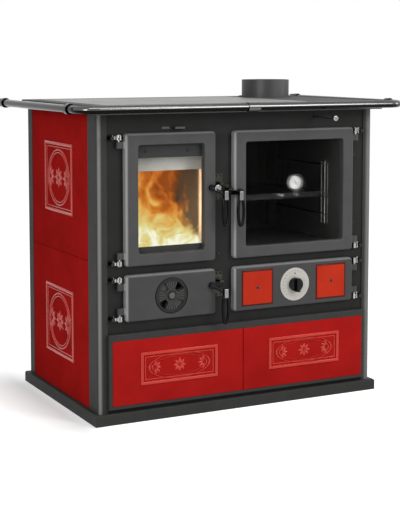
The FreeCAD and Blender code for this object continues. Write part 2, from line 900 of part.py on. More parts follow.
def hob_lid():
    z0 = cooktop_height - lid_thickness + seat_gap
    solid = rod_z_up(lid_radius, fire_centre, lid_centre_y, z0, cooktop_height)
    rim = [e for e in solid.Edges if abs(e.BoundBox.ZMin - cooktop_height) < 0.001]
    solid = solid.makeChamfer(hotplate_edge, rim)
    x = fire_centre + lid_slot_offset
    slot = rounded_block(x - lid_slot_length / 2, x + lid_slot_length / 2,
                         lid_centre_y - lid_slot_width / 2, lid_centre_y + lid_slot_width / 2,
                         cooktop_height - lid_slot_depth, cooktop_height + cut_over,
                         lid_slot_width / 2, "z")
    return solid.cut(slot)


def flue_collar():
    z0 = cooktop_height - flue_drop
    z1 = cooktop_height + flue_rise
    tube = rod_z_up(flue_radius, flue_x, flue_y, z0, z1)
    flange = rod_z_up(flue_flange_radius, flue_x, flue_y, cooktop_height,
                      cooktop_height + flue_flange_thickness)
    bore = rod_z_up(flue_radius - flue_wall, flue_x, flue_y, z0 - cut_over, z1 + cut_over)
    return fuse_all([tube, flange]).cut(bore)


# Handrail

def rail_run(radius, start_gap, end_y):
    # The left half of the rail: half the front, the corner and the side
    corner = Vec(-rail_side_x + rail_corner_radius, rail_front_y + rail_corner_radius, rail_z)
    front = rod(radius, Vec(-start_gap, rail_front_y, rail_z), Vec(corner.x, rail_front_y, rail_z))
    side = rod(radius, Vec(-rail_side_x, corner.y, rail_z), Vec(-rail_side_x, end_y, rail_z))
    ring = Part.makeTorus(rail_corner_radius, radius, corner)
    reach = rail_corner_radius + radius + cut_over
    quarter = block(corner.x - reach, corner.x, corner.y - reach, corner.y,
                    rail_z - reach, rail_z + reach)
    return fuse_all([front, ring.common(quarter), side])


def rail_left():
    outer = rail_run(rail_radius, 0, rail_back_y)
    inner = rail_run(rail_radius - rail_wall, -cut_over, rail_back_y - rail_wall)
    cap = rod(rail_cap_radius, Vec(-rail_side_x, rail_back_y - rail_cap_length, rail_z),
              Vec(-rail_side_x, rail_back_y, rail_z))
    core = rod(rail_radius - rail_wall, Vec(-rail_side_x, rail_back_y - rail_cap_length - cut_over, rail_z),
               Vec(-rail_side_x, rail_back_y - rail_wall, rail_z))
    return fuse_all([outer.cut(inner), cap.cut(core)])


def rail_sleeve():
    half = sleeve_length / 2
    outer = rod(sleeve_radius, Vec(-half, rail_front_y, rail_z), Vec(half, rail_front_y, rail_z))
    inner = rod(rail_radius + sleeve_gap, Vec(-half - cut_over, rail_front_y, rail_z),
                Vec(half + cut_over, rail_front_y, rail_z))
    return outer.cut(inner)


def rail_bracket(y):
    # A collar round the left rail on an arm that is fixed to the edge of the cooktop
    start = Vec(-rail_side_x, y - collar_length / 2, rail_z)
    end = Vec(-rail_side_x, y + collar_length / 2, rail_z)
    collar = rod(collar_radius, start, end)
    arm = block(-rail_side_x, plate_left, y - bracket_thickness / 2, y + bracket_thickness / 2,
                top_under + top_edge, cooktop_height - top_edge * 2)
    step = Vec(0, cut_over, 0)
    bore = rod(rail_radius + sleeve_gap, start.sub(step), end.add(step))
    return fuse_all([collar, arm]).cut(bore)


def rail_brackets():
    left = [rail_bracket(bracket_front_y), rail_bracket(bracket_rear_y)]
    return left + [mirror_x(shape) for shape in left]


# Hinges

def hinge_levels(z0, z1):
    # Bottom and top of the frame's knuckle and of the door's barrel, at each end of a door
    low_knuckle = z0 + knuckle_end_inset
    low_barrel = low_knuckle + knuckle_height + hinge_washer_gap
    high_knuckle = z1 - knuckle_end_inset - knuckle_height
    high_barrel = high_knuckle - hinge_washer_gap - barrel_height
    return ((low_knuckle, low_barrel), (high_knuckle, high_barrel))


def hinge_bracket(axis_x, outward, z):
    # Knuckle on an arm from a round foot on the front frame
    gap = bracket_foot_left_gap if outward < 0 else bracket_foot_right_gap
    foot_x = outward * (half_width - post_front_leg - gap - bracket_foot_radius)
    z_mid = z + knuckle_height / 2
    foot = rod_y(bracket_foot_radius, foot_x, z_mid, frame_face - bracket_foot_thickness, frame_face)
    knuckle = rod_z_up(knuckle_radius, axis_x, hinge_y, z, z + knuckle_height)
    x0 = min(axis_x, foot_x)
    x1 = max(axis_x, foot_x)
    arm = block(x0, x1, hinge_y - bracket_arm_thickness / 2, hinge_y + bracket_arm_thickness / 2,
                z_mid - bracket_arm_height / 2, z_mid + bracket_arm_height / 2)
    post = block(foot_x - bracket_arm_thickness / 2, foot_x + bracket_arm_thickness / 2,
                 hinge_y - bracket_arm_thickness / 2, frame_face,
                 z_mid - bracket_arm_height / 2, z_mid + bracket_arm_height / 2)
    bore = rod_z_up(hinge_pin_radius, axis_x, hinge_y, z - cut_over, z + knuckle_height + cut_over)
    return fuse_all([foot, knuckle, arm, post]).cut(bore)


def hinge_sets():
    for name, outline in door_outlines().items():
        if name in ("fire", "ash"):
            yield outline, hinge_left_x, -1
        else:
            yield outline, hinge_right_x, 1


def hinge_brackets():
    pieces = []
    for outline, axis_x, outward in hinge_sets():
        for level in hinge_levels(outline[2], outline[3]):
            pieces.append(hinge_bracket(axis_x, outward, level[0]))
    return pieces


def hinge_pin(axis_x, z0, z1, head_up):
    shank = rod_z_up(hinge_pin_radius, axis_x, hinge_y, z0, z1)
    if head_up:
        head = rod_z_up(pin_head_radius, axis_x, hinge_y, z1, z1 + pin_head_height)
    else:
        head = rod_z_up(pin_head_radius, axis_x, hinge_y, z0 - pin_head_height, z0)
    return fuse_all([shank, head])


def hinge_pins():
    pieces = []
    for outline, axis_x in [places[:2] for places in hinge_sets()]:
        low, high = hinge_levels(outline[2], outline[3])
        pieces.append(hinge_pin(axis_x, low[0], low[1] + barrel_height, False))
        pieces.append(hinge_pin(axis_x, high[1], high[0] + knuckle_height, True))
    return pieces


def door_lugs(outline, axis_x, door_edge_x):
    # The barrels cast on the door's hinge edge
    pieces = []
    for level in hinge_levels(outline[2], outline[3]):
        barrel_z = level[1]
        pieces.append(rod_z_up(barrel_radius, axis_x, hinge_y, barrel_z, barrel_z + barrel_height))
        into = door_corner if axis_x < door_edge_x else -door_corner
        x0 = min(axis_x, door_edge_x + into)
        x1 = max(axis_x, door_edge_x + into)
        pieces.append(block(x0, x1, hinge_y - hinge_lug_thickness / 2, hinge_y + hinge_lug_thickness / 2,
                            barrel_z, barrel_z + barrel_height))
    return pieces


def drill_lugs(solid, outline, axis_x):
    bore = rod_z_up(hinge_pin_radius + pin_clearance, axis_x, hinge_y, outline[2] - cut_over,
                    outline[3] + cut_over)
    return solid.cut(bore)


# Doors

def spindle_places():
    fire_x = fire_right - spindle_inset
    oven_x = oven_left + spindle_edge_inset
    return {
        "fire": (fire_x, fire_spindle_z, 1, clasp_offset, clasp_drop),
        "ash": (fire_x, ash_spindle_z, 1, clasp_offset, clasp_drop),
        "oven": (oven_x, oven_spindle_z, -1, oven_clasp_offset, oven_clasp_drop),
    }


def drill_spindle(solid, name):
    x, z = spindle_places()[name][:2]
    return solid.cut(rod_y(spindle_radius + pin_clearance, x, z, door_front - cut_over, spindle_bore_end))


def hinge_side(name):
    outline = door_outlines()[name]
    if name in ("fire", "ash"):
        return hinge_left_x, outline[0]
    return hinge_right_x, outline[1]


def window_outline(outline):
    return (outline[0] + window_left_margin, outline[1] - window_right_margin,
            outline[2] + window_bottom_margin, outline[3] - window_top_margin)


def glazed_door(name):
    outline = door_outlines()[name]
    x0, x1, z0, z1 = outline
    wx0, wx1, wz0, wz1 = window_outline(outline)
    slab = front_slab(x0, x1, z0, z1, door_front, door_back, door_corner, door_edge)
    lip_inset = opening_inset + door_lip_gap
    lip = rounded_block(x0 + lip_inset, x1 - lip_inset, door_back, door_back + door_lip_depth,
                        z0 + lip_inset, z1 - lip_inset, frame_corner, "y")
    axis_x, edge_x = hinge_side(name)
    solid = fuse_all([slab, lip] + door_lugs(outline, axis_x, edge_x))
    window = rounded_block(wx0, wx1, door_front - cut_over, door_back + door_lip_depth + cut_over,
                           wz0, wz1, window_corner, "y")
    solid = solid.cut(window)
    bounds = (wx0 - cut_over, wx1 + cut_over, wz0 - cut_over, wz1 + cut_over)
    solid = soften_front(solid, door_front, window_edge, bounds)
    rebate = block(wx0 - glass_lap, wx1 + glass_lap, glass_front, door_back + door_lip_depth + cut_over,
                   wz0 - glass_lap, wz1 + glass_lap)
    solid = solid.cut(rebate)
    groove = seal_ring(outline, door_back - seal_depth, door_back + cut_over, 0)
    solid = fuse_all([solid.cut(groove)] + glass_clips(outline))
    solid = drill_lugs(solid, outline, axis_x)
    return drill_spindle(solid, name)


def glass_clips(outline):
    # Small clips on the lip that hold the glass from behind
    wx0, wx1, wz0, wz1 = window_outline(outline)
    y0 = glass_front + glass_thickness
    y1 = y0 + glass_clip_thickness
    x_mid = (wx0 + wx1) / 2
    z_mid = (wz0 + wz1) / 2
    half = glass_clip_width / 2
    inner = glass_lap - glass_clip_reach
    root = glass_lap + glass_clip_thickness
    return [
        block(wx0 - root, wx0 - inner, y0, y1, z_mid - half, z_mid + half),
        block(wx1 + inner, wx1 + root, y0, y1, z_mid - half, z_mid + half),
        block(x_mid - half, x_mid + half, y0, y1, wz0 - root, wz0 - inner),
        block(x_mid - half, x_mid + half, y0, y1, wz1 + inner, wz1 + root),
    ]


def seal_ring(outline, y0, y1, slack):
    x0, x1, z0, z1 = outline
    inset = seal_inset + slack
    return frame_ring(x0 + inset, x1 - inset, z0 + inset, z1 - inset, y0, y1,
                      seal_width - slack * 2, door_corner)


def door_seal(name):
    outline = door_outlines()[name]
    return seal_ring(outline, door_back - seal_depth + seat_gap, frame_face - seat_gap, seat_gap)


def door_glass(name):
    wx0, wx1, wz0, wz1 = window_outline(door_outlines()[name])
    lap = glass_lap - seat_gap
    return block(wx0 - lap, wx1 + lap, glass_front, glass_front + glass_thickness, wz0 - lap, wz1 + lap)


def glass_strips():
    wx0, wx1, wz0, wz1 = window_outline(door_outlines()["fire"])
    y1 = glass_front - seat_gap
    y0 = y1 - strip_thickness
    x0 = wx0 + seat_gap
    x1 = wx1 - seat_gap
    edge = strip_thickness * 0.4
    top = rounded_block(x0, x1, y0, y1, wz1 - top_strip_height, wz1 - seat_gap, edge, "x")
    bottom = rounded_block(x0, x1, y0, y1, wz0 + seat_gap, wz0 + bottom_strip_height, edge, "x")
    trim = rounded_block(x0, x1, y0 - cut_over, y1 + cut_over, wz0 + seat_gap, wz1 - seat_gap,
                         window_corner, "y")
    return [top.common(trim), bottom.common(trim)]


def solid_door(name):
    outline = door_outlines()[name]
    x0, x1, z0, z1 = outline
    slab = front_slab(x0, x1, z0, z1, door_front, door_back, door_corner, door_edge)
    pocket = rounded_block(x0 + door_pocket_inset, x1 - door_pocket_inset, door_front + door_wall,
                           door_back + cut_over, z0 + door_pocket_inset, z1 - door_pocket_inset,
                           frame_corner, "y")
    axis_x, edge_x = hinge_side(name)
    solid = fuse_all([slab] + door_lugs(outline, axis_x, edge_x))
    return drill_lugs(solid.cut(pocket), outline, axis_x)


def sector(inner, outer, start_angle, sweep, y0, y1):
    # A piece of a ring about the Y axis at the origin, from its start angle in the XZ plane
    ring = rod_y(outer, 0, 0, y0, y1).cut(rod_y(inner, 0, 0, y0 - cut_over, y1 + cut_over))
    reach = outer * 3
    first = math.radians(start_angle)
    last = math.radians(start_angle + sweep)
    points = [
        Vec(0, y0 - cut_over, 0),
        Vec(reach * math.cos(first), y0 - cut_over, reach * math.sin(first)),
        Vec(reach * math.cos(last), y0 - cut_over, reach * math.sin(last)),
        Vec(0, y0 - cut_over, 0),
    ]
    wedge = Part.Face(Part.makePolygon(points)).extrude(Vec(0, y1 - y0 + cut_over * 2, 0))
    return ring.common(wedge)


def air_disc_place():
    return Vec(fire_centre, 0, lower_door_middle)


def disc_slot_starts():
    pitch = 2 * math.pi / disc_slot_count
    return [math.degrees(pitch * (index + 1 / 2)) - disc_slot_angle / 2 for index in range(disc_slot_count)]


def ash_door():
    solid = drill_spindle(solid_door("ash"), "ash")
    place = air_disc_place()
    recess = rod_y(disc_radius + disc_recess_gap, place.x, place.z, door_front - cut_over,
                   door_front + disc_recess_depth)
    backing = rod_y(disc_radius + disc_recess_gap, place.x, place.z, door_front + disc_recess_depth / 2,
                    door_back - running_gap)
    solid = fuse_all([solid, backing]).cut(recess)
    for start in disc_slot_starts()[::2]:
        window = sector(disc_slot_inner, disc_slot_outer, start, disc_slot_angle,
                        door_front, door_back + cut_over)
        window.translate(place)
        solid = solid.cut(window)
    hole = rod_y(disc_screw_radius, place.x, place.z, door_front,
                 door_front + disc_recess_depth + disc_screw_depth)
    return solid.cut(hole)


def air_regulator_disc():
    place = air_disc_place()
    y1 = door_front + disc_recess_depth - seat_gap
    y0 = y1 - disc_thickness
    solid = rod_y(disc_radius, 0, 0, y0, y1)
    solid = soften_front(solid, y0, disc_thickness * 0.3)
    for start in disc_slot_starts():
        slot = sector(disc_slot_inner, disc_slot_outer, start, disc_slot_angle,
                      y0 - cut_over, y1 + cut_over)
        solid = solid.cut(slot)
    bore = rod_y(disc_screw_radius + pin_clearance, 0, 0, y0 - cut_over, y1 + cut_over)
    solid = solid.cut(bore)
    solid.translate(place)
    return solid


def air_regulator_screw():
    place = air_disc_place()
    disc_face = door_front + disc_recess_depth - seat_gap - disc_thickness
    head_back = disc_face - seat_gap
    head = rod_y(disc_screw_head_radius, place.x, place.z, head_back - disc_screw_head_height, head_back)
    head = soften_front(head, head_back - disc_screw_head_height, disc_screw_head_height * 0.6)
    shank = rod_y(disc_screw_radius, place.x, place.z, head_back,
                  door_front + disc_recess_depth + disc_screw_depth)
    return fuse_all([head, shank])


def control_tile_centres():
    reach = control_tile_inset + control_tile_width / 2
    return [(oven_left + reach, lower_door_middle), (oven_right - reach, lower_door_middle)]


def control_door():
    solid = solid_door("control")
    half_x = control_tile_width / 2 + seat_gap
    half_z = control_tile_height / 2 + seat_gap
    floor_y = door_front + control_tile_recess
    for x, z in control_tile_centres():
        backing = block(x - half_x, x + half_x, floor_y, floor_y + door_wall, z - half_z, z + half_z)
        solid = fuse_all([solid, backing])
        seat = block(x - half_x, x + half_x, door_front - cut_over, floor_y, z - half_z, z + half_z)
        solid = solid.cut(seat)
    boss = rod_y(knob_radius, oven_centre, lower_door_middle, door_front + door_wall / 2,
                 door_back - running_gap)
    bore = rod_y(knob_shaft_radius + pin_clearance, oven_centre, lower_door_middle,
                 door_front - cut_over, door_back + cut_over)
    return fuse_all([solid, boss]).cut(bore)


def control_tiles():
    pieces = []
    for x, z in control_tile_centres():
        half_x = control_tile_width / 2
        half_z = control_tile_height / 2
        y1 = door_front + control_tile_recess
        y0 = y1 - control_tile_thickness
        tile = block(x - half_x, x + half_x, y0, y1, z - half_z, z + half_z)
        tile = soften_front(tile, y0, control_tile_edge)
        pieces.append(tile.cut(rod_y(control_screw_radius, x, z, y0 - cut_over, y0 + control_tile_edge)))
    return pieces


def thermostat_dial():
    z = lower_door_middle
    y0 = door_front - dial_thickness
    ring = rod_y(dial_radius, oven_centre, z, y0, door_front)
    ring = soften_front(ring, y0, dial_thickness * 0.4)
    return ring.cut(rod_y(dial_hole_radius, oven_centre, z, y0 - cut_over, door_front + cut_over))


def thermostat_knob():
    z = lower_door_middle
    y1 = door_front - dial_thickness - knob_gap
    y0 = y1 - knob_height
    body = rod_y(knob_radius, oven_centre, z, y0, y1)
    body = soften_front(body, y0, knob_edge)
    grip = block(oven_centre - knob_grip_width / 2, oven_centre + knob_grip_width / 2,
                 y0 - knob_grip_height, y0 + knob_edge, z - knob_radius, z + knob_radius)
    grip = grip.common(rod_y(knob_radius, oven_centre, z, y0 - knob_grip_height - cut_over, y1))
    grip = soften_front(grip, y0 - knob_grip_height, knob_edge)
    shaft = rod_y(knob_shaft_radius, oven_centre, z, y0 + knob_edge, door_front + knob_shaft_depth)
    return fuse_all([body, grip, shaft])


# Door handles

def handle_lever(name):
    x, z, outward, offset, drop = spindle_places()[name]
    face = door_front - seat_gap
    spindle = rod_y(spindle_radius, x, z, face, spindle_bore_end - seat_gap)
    boss = rod_y(boss_radius, x, z, face - boss_length, face)
    boss = soften_front(boss, face - boss_length, boss_length * 0.2)
    tongue_end = x + outward * tongue_reach
    tongue = rounded_block(min(x, tongue_end), max(x, tongue_end), face - boss_length + seat_gap * 4,
                           face - boss_length + seat_gap * 4 + tongue_thickness,
                           z - tongue_height / 2, z + tongue_height / 2, tongue_height * 0.35, "y")
    clasp_x = x + outward * offset
    clasp_y = door_front - clasp_standoff + clasp_radius * 2
    clasp_z = z - drop
    clasp = rod_z_up(clasp_radius, clasp_x, clasp_y, clasp_z - clasp_height / 2, clasp_z + clasp_height / 2)
    ends = [e for e in clasp.Edges if e.BoundBox.ZLength < 0.001]
    clasp = clasp.makeFillet(clasp_radius * 0.3, ends)
    arm = rod(arm_radius, Vec(x, face - boss_length / 2, z), Vec(clasp_x, clasp_y, clasp_z))
    return fuse_all([spindle, boss, tongue, clasp, arm])


def loop_wire(centre_x, y, z_top):
    # An eye-shaped outline: two long bowed sides joined by small end arcs, all tangent
    half = loop_length / 2
    end = loop_end_radius
    rise = half - end
    side = (rise * rise + loop_half_width * loop_half_width - end * end) / (2 * (loop_half_width - end))
    angle = math.atan2(rise, side - loop_half_width)
    z_mid = z_top - half

    def at(cx, cz, radius, turn):
        return Vec(centre_x + cx + radius * math.cos(turn), y, z_mid + cz + radius * math.sin(turn))

    right_c = loop_half_width - side
    top_right = at(0, rise, end, angle)
    top_left = at(0, rise, end, math.pi - angle)
    low_left = at(0, -rise, end, math.pi + angle)
    low_right = at(0, -rise, end, -angle)
    arcs = [
        Part.Arc(low_right, at(right_c, 0, side, 0), top_right),
        Part.Arc(top_right, at(0, rise, end, math.pi / 2), top_left),
        Part.Arc(top_left, at(-right_c, 0, side, math.pi), low_left),
        Part.Arc(low_left, at(0, -rise, end, -math.pi / 2), low_right),
    ]
    return Part.Wire([arc.toShape() for arc in arcs])


def handle_loop(name):
    x, z, outward, offset, drop = spindle_places()[name]
    clasp_x = x + outward * offset
    clasp_y = door_front - clasp_standoff + clasp_radius * 2
    z_top = z - drop - clasp_height / 2 + loop_seat
    path = loop_wire(clasp_x, clasp_y, z_top)
    pieces = []
    for edge in path.Edges:
        begin = edge.valueAt(edge.FirstParameter)
        heading = edge.tangentAt(edge.FirstParameter)
        profile = Part.Wire([Part.makeCircle(loop_bar_radius, begin, heading)])
        pieces.append(Part.Wire([edge]).makePipeShell([profile], True, False))
    return fuse_all(pieces)


def catch_plate(x0, x1, z, height):
    plate = block(x0, x1, frame_face - catch_thickness, frame_face, z - height / 2, z + height / 2)
    for x in (x0 + catch_hole_inset, x1 - catch_hole_inset):
        for end in (-1, 1):
            hole_z = z + end * (height / 2 - catch_hole_inset)
            plate = plate.cut(rod_y(catch_hole_radius, x, hole_z, frame_face - catch_thickness - cut_over,
                                    frame_face + cut_over))
    roof_z = z + tongue_height / 2 + keeper_gap
    mid = (x0 + x1) / 2
    roof = block(mid - keeper_width / 2, mid + keeper_width / 2,
                 door_front - boss_length + seat_gap * 4, frame_face - catch_thickness / 2,
                 roof_z, roof_z + keeper_height)
    return fuse_all([plate, roof])


def catch_plates():
    places = spindle_places()
    left_edge = fire_right + running_gap * 3
    oven_edge = oven_left - running_gap * 3
    pieces = [catch_plate(left_edge, left_edge + catch_width, places[name][1], catch_height)
              for name in ("fire", "ash")]
    pieces.append(catch_plate(oven_edge - oven_catch_width, oven_edge, places["oven"][1], oven_catch_height))
    return pieces


# Sliders

def air_slider():
    tab_right = slot_left_x + slot_length - slot_corner - slide_clearance
    tab_left = tab_right - slider_tab_length
    tab_half = slot_height / 2 - slide_clearance / 2
    y_back = frame_back + seat_gap
    tab = block(tab_left, tab_right, frame_face - slider_tab_reach, y_back + slider_plate_thickness,
                slot_centre_z - tab_half, slot_centre_z + tab_half)
    plate = block(tab_right - slider_plate_length, tab_right + slider_tab_length / 2, y_back,
                  y_back + slider_plate_thickness, slot_centre_z - slider_plate_height / 2,
                  slot_centre_z + slider_plate_height / 2)
    return fuse_all([tab, plate])


def bypass_rod():
    y0 = frame_face - rod_reach
    y1 = y0 + rod_length
    shaft = rod_y(rod_radius, rod_x, rod_z, y0, y1)
    damper = block(rod_x - damper_width / 2, rod_x + damper_width / 2, y1 - damper_length, y1,
                   rod_z - rod_radius - damper_thickness / 2, rod_z - rod_radius + damper_thickness / 2)
    return fuse_all([shaft, damper])


def bypass_knob():
    y1 = frame_face - rod_reach + rod_knob_socket
    y0 = y1 - rod_knob_length
    knob = rod_y(rod_knob_radius, rod_x, rod_z, y0, y1)
    knob = knob.makeFillet(rod_knob_radius * 0.3, [e for e in knob.Edges if e.BoundBox.YLength < 0.001])
    socket = rod_y(rod_radius + pin_clearance, rod_x, rod_z, frame_face - rod_reach, y1 + cut_over)
    return knob.cut(socket)


# Drawer

def drawer_front():
    x1 = drawer_side
    slab = block(-x1, x1, drawer_front_y, drawer_back_y, drawer_bottom, drawer_top)
    slab = soften_front(slab, drawer_front_y, drawer_edge)
    recess = block(-x1 + panel_side_band, x1 - panel_side_band, drawer_front_y - cut_over,
                   drawer_front_y + drawer_recess, drawer_bottom + panel_bottom_band,
                   drawer_top - panel_top_band)
    hollow = block(-x1 + drawer_back_band, x1 - drawer_back_band,
                   drawer_front_y + drawer_recess + drawer_web, drawer_back_y + cut_over,
                   drawer_bottom + drawer_back_band / 2, drawer_top - drawer_back_band * 1.5)
    return slab.cut(recess).cut(hollow)


def drawer_panel(x0, x1):
    y1 = drawer_front_y + drawer_recess
    y0 = y1 - panel_thickness
    z0 = drawer_bottom + panel_bottom_band + seat_gap
    z1 = drawer_top - panel_top_band - seat_gap
    panel = block(x0, x1, y0, y1, z0, z1)
    panel = soften_front(panel, y0, panel_edge)
    pattern = relief(drawer_relief_width, drawer_relief_height, drawer_motif_length,
                     drawer_motif_height, relief_rise + panel_edge)
    raised = []
    for piece in pattern:
        piece.translate(Vec((x0 + x1) / 2, y0 - relief_rise, (z0 + z1) / 2 + drawer_relief_lift))
        raised.append(piece)
    return fuse_all([panel] + raised)


def drawer_panels():
    x1 = drawer_side - panel_side_band - seat_gap
    right = drawer_panel(panel_split_gap / 2, x1)
    return [mirror_x(right), right]


def drawer_box():
    z0 = drawer_floor_z
    y1 = drawer_box_back
    outer = block(-drawer_box_side, drawer_box_side, drawer_back_y, y1, z0, z0 + drawer_box_height)
    wall = drawer_box_wall
    inner = block(-drawer_box_side + wall, drawer_box_side - wall, drawer_back_y + wall, y1 - wall,
                  z0 + wall, z0 + drawer_box_height + cut_over)
    return outer.cut(inner)


def drawer_runners():
    # Angle runners on the base, with the drawer's floor on their flanges
    web_x0 = drawer_box_side + runner_gap
    web_x1 = web_x0 + runner_sheet
    y0 = frame_back
    y1 = drawer_box_back
    flange_top = base_height + runner_lift
    web = block(web_x0, web_x1, y0, y1, base_height, base_height + runner_height)
    flange = block(web_x1 - runner_flange, web_x1, y0, y1, flange_top - runner_sheet, flange_top)
    foot = block(web_x1 - runner_sheet, web_x1 + runner_flange, y0, y1, base_height,
                 base_height + runner_sheet)
    right = fuse_all([web, flange, foot])
    return [mirror_x(right), right]


def build():
    print("spindles", round(fire_spindle_z, 3), round(oven_spindle_z, 3), round(ash_spindle_z, 3))
    print("thermometer", round(gauge_x, 3), round(gauge_front_y, 3), round(gauge_z, 3))
    post = front_post()
    save("base_plate", base_plate())
    save("post_front_left", post)
    save("post_front_right", mirror_x(post))
    save("rear_posts", rear_posts())
    save("front_frame", front_frame())
    save("back_panel", back_panel())
    lower = side_tile(base_height, tile_split_height)
    upper = side_tile(tile_split_height, top_under)
    save("tile_left_lower", lower)
    save("tile_left_upper", upper)
    save("tile_right_lower", mirror_x(lower))
    save("tile_right_upper", mirror_x(upper))
    save("inner_casing", inner_casing())
    save("lining_left", lining_side(True))
    save("lining_right", lining_side(False))
    save("lining_rear", lining_rear())
    save("grate", grate())
    save("baffle_plate", baffle_plate())
    save("ash_pan", ash_pan())
    save("oven_box", oven_box())
    save("oven_side_racks", oven_side_racks())
    save("oven_tray", oven_tray())
    save("thermometer_case", thermometer_case())
    save("thermometer_needle", thermometer_needle())
    save("top_frame", top_frame())
    save("hotplate", hotplate())
    save("hob_lid", hob_lid())
    save("flue_collar", flue_collar())
    rail = rail_left()
    save("rail_left", rail)
    save("rail_right", mirror_x(rail))
    save("rail_sleeve", rail_sleeve())
    save("rail_brackets", rail_brackets())
    save("hinge_brackets", hinge_brackets())
    save("hinge_pins", hinge_pins())
    save("catch_plates", catch_plates())
    save("fire_door_frame", glazed_door("fire"))
    save("fire_door_glass", door_glass("fire"))
    save("fire_glass_strips", glass_strips())
    save("fire_door_seal", door_seal("fire"))
    save("fire_handle_lever", handle_lever("fire"))
    save("fire_handle_loop", handle_loop("fire"))
    save("ash_door", ash_door())
    save("air_regulator_disc", air_regulator_disc())
    save("air_regulator_screw", air_regulator_screw())
    save("ash_handle_lever", handle_lever("ash"))
    save("ash_handle_loop", handle_loop("ash"))
    save("oven_door_frame", glazed_door("oven"))
    save("oven_door_glass", door_glass("oven"))
    save("oven_door_seal", door_seal("oven"))
    save("oven_handle_lever", handle_lever("oven"))
    save("oven_handle_loop", handle_loop("oven"))
    save("control_door", control_door())
    save("control_tiles", control_tiles())
    save("thermostat_dial", thermostat_dial())
    save("thermostat_knob", thermostat_knob())
    save("air_slider", air_slider())
    save("bypass_rod", bypass_rod())
    save("bypass_knob", bypass_knob())
    save("drawer_front", drawer_front())
    save("drawer_panels", drawer_panels())
    save("drawer_box", drawer_box())
    save("drawer_runners", drawer_runners())


build()
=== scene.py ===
# %% [markdown]
# # A wood-fired range cooker
#
# This lesson dresses the CAD model of a kitchen range that burns wood: a cast-iron firebox door and an
# oven door with glass, red glazed tiles, a steel cooktop and a handrail. The CAD model gives every size.
# Blender adds what CAD leaves out: glaze, cast grain, tile relief, screws, a dial's marks and the fire.

import json
import math

import bpy
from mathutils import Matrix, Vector


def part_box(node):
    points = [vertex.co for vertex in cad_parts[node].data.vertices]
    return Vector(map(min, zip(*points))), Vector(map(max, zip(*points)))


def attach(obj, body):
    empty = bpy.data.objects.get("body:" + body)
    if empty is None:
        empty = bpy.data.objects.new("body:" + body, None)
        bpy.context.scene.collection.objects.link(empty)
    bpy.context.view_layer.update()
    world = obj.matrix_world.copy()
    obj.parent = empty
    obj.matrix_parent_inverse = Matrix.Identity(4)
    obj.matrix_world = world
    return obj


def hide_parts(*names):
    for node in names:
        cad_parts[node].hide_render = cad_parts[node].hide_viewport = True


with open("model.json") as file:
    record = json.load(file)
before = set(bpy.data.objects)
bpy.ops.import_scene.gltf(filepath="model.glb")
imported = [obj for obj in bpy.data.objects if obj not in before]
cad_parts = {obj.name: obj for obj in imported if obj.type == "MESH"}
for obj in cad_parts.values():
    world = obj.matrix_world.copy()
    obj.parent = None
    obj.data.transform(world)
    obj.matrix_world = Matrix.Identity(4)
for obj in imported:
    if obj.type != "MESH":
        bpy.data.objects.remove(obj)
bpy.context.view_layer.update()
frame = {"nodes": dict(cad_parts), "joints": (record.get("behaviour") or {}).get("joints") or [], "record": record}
nodes = frame["nodes"]
MM = 0.001

# %% [markdown]
# ## Where we look from
#
# The real range was photographed from its front left, a little above the cooktop, with a long lens that
# keeps its upright lines upright. A camera that looks slightly down would tilt those lines, so most of the
# downward framing comes from the lens shift, which moves the picture and leaves the lines alone.

# %% Camera
LOOK_DOWN, LOOK_RIGHT = 4.998, 26.983
scene = bpy.context.scene
eye = bpy.data.cameras.new("range_camera")
eye.lens = 90.715
eye.sensor_width = 36.0
eye.shift_y = -0.17
eye_object = bpy.data.objects.new("range_camera", eye)
scene.collection.objects.link(eye_object)
eye_object.location = (-1.726153, -3.40826, 0.990968)
eye_object.rotation_euler = (math.radians(90 - LOOK_DOWN), 0, math.radians(-LOOK_RIGHT))
scene.camera = eye_object
print("camera distance", round(eye_object.location.length, 2), "m")

# %% [markdown]
# ## Building with shader nodes
#
# The studio, the materials and the floor are all small networks of nodes. A few helpers let them read like
# sums: each one adds a node next to the sockets that it is given, wires it up and hands back its output.

# %% Sums with sockets
def feed(socket, value):
    # Links another node's output to the socket, or writes a plain number or colour into it
    if isinstance(value, bpy.types.NodeSocket):
        value.id_data.links.new(value, socket)
    else:
        socket.default_value = value


def maths(operation, first, second=None, clamp=False):
    tree = (second if isinstance(first, (int, float)) else first).id_data
    node = tree.nodes.new("ShaderNodeMath")
    node.operation = operation
    node.use_clamp = clamp
    feed(node.inputs[0], first)
    if second is not None:
        feed(node.inputs[1], second)
    return node.outputs[0]


def plus(first, second):
    return maths("ADD", first, second)


def minus(first, second, clamp=False):
    return maths("SUBTRACT", first, second, clamp)


def times(first, second, clamp=False):
    return maths("MULTIPLY", first, second, clamp)


def divide(first, second, clamp=False):
    return maths("DIVIDE", first, second, clamp)


def above(value, limit):
    return maths("GREATER_THAN", value, limit)


def below(value, limit):
    return maths("LESS_THAN", value, limit)


def distance(across, upward):
    return maths("SQRT", plus(times(across, across), times(upward, upward)))


print("sums ready")

# %% Patterns and places
def spread(value, low, high):
    # Stretches the values between low and high over 0 to 1, and holds the rest at 0 or 1
    node = value.id_data.nodes.new("ShaderNodeMapRange")
    for label, number in (("Value", value), ("From Min", low), ("From Max", high)):
        feed(node.inputs[label], number)
    return node.outputs["Result"]


def noise(vector, scale, detail, roughness, output="Fac"):
    node = vector.id_data.nodes.new("ShaderNodeTexNoise")
    for label, value in (("Vector", vector), ("Scale", scale), ("Detail", detail), ("Roughness", roughness)):
        feed(node.inputs[label], value)
    return node.outputs[output]


def mapped(vector, label, value):
    # Moves or stretches a pattern: the label is Location or Scale
    node = vector.id_data.nodes.new("ShaderNodeMapping")
    feed(node.inputs["Vector"], vector)
    feed(node.inputs[label], value)
    return node.outputs["Vector"]


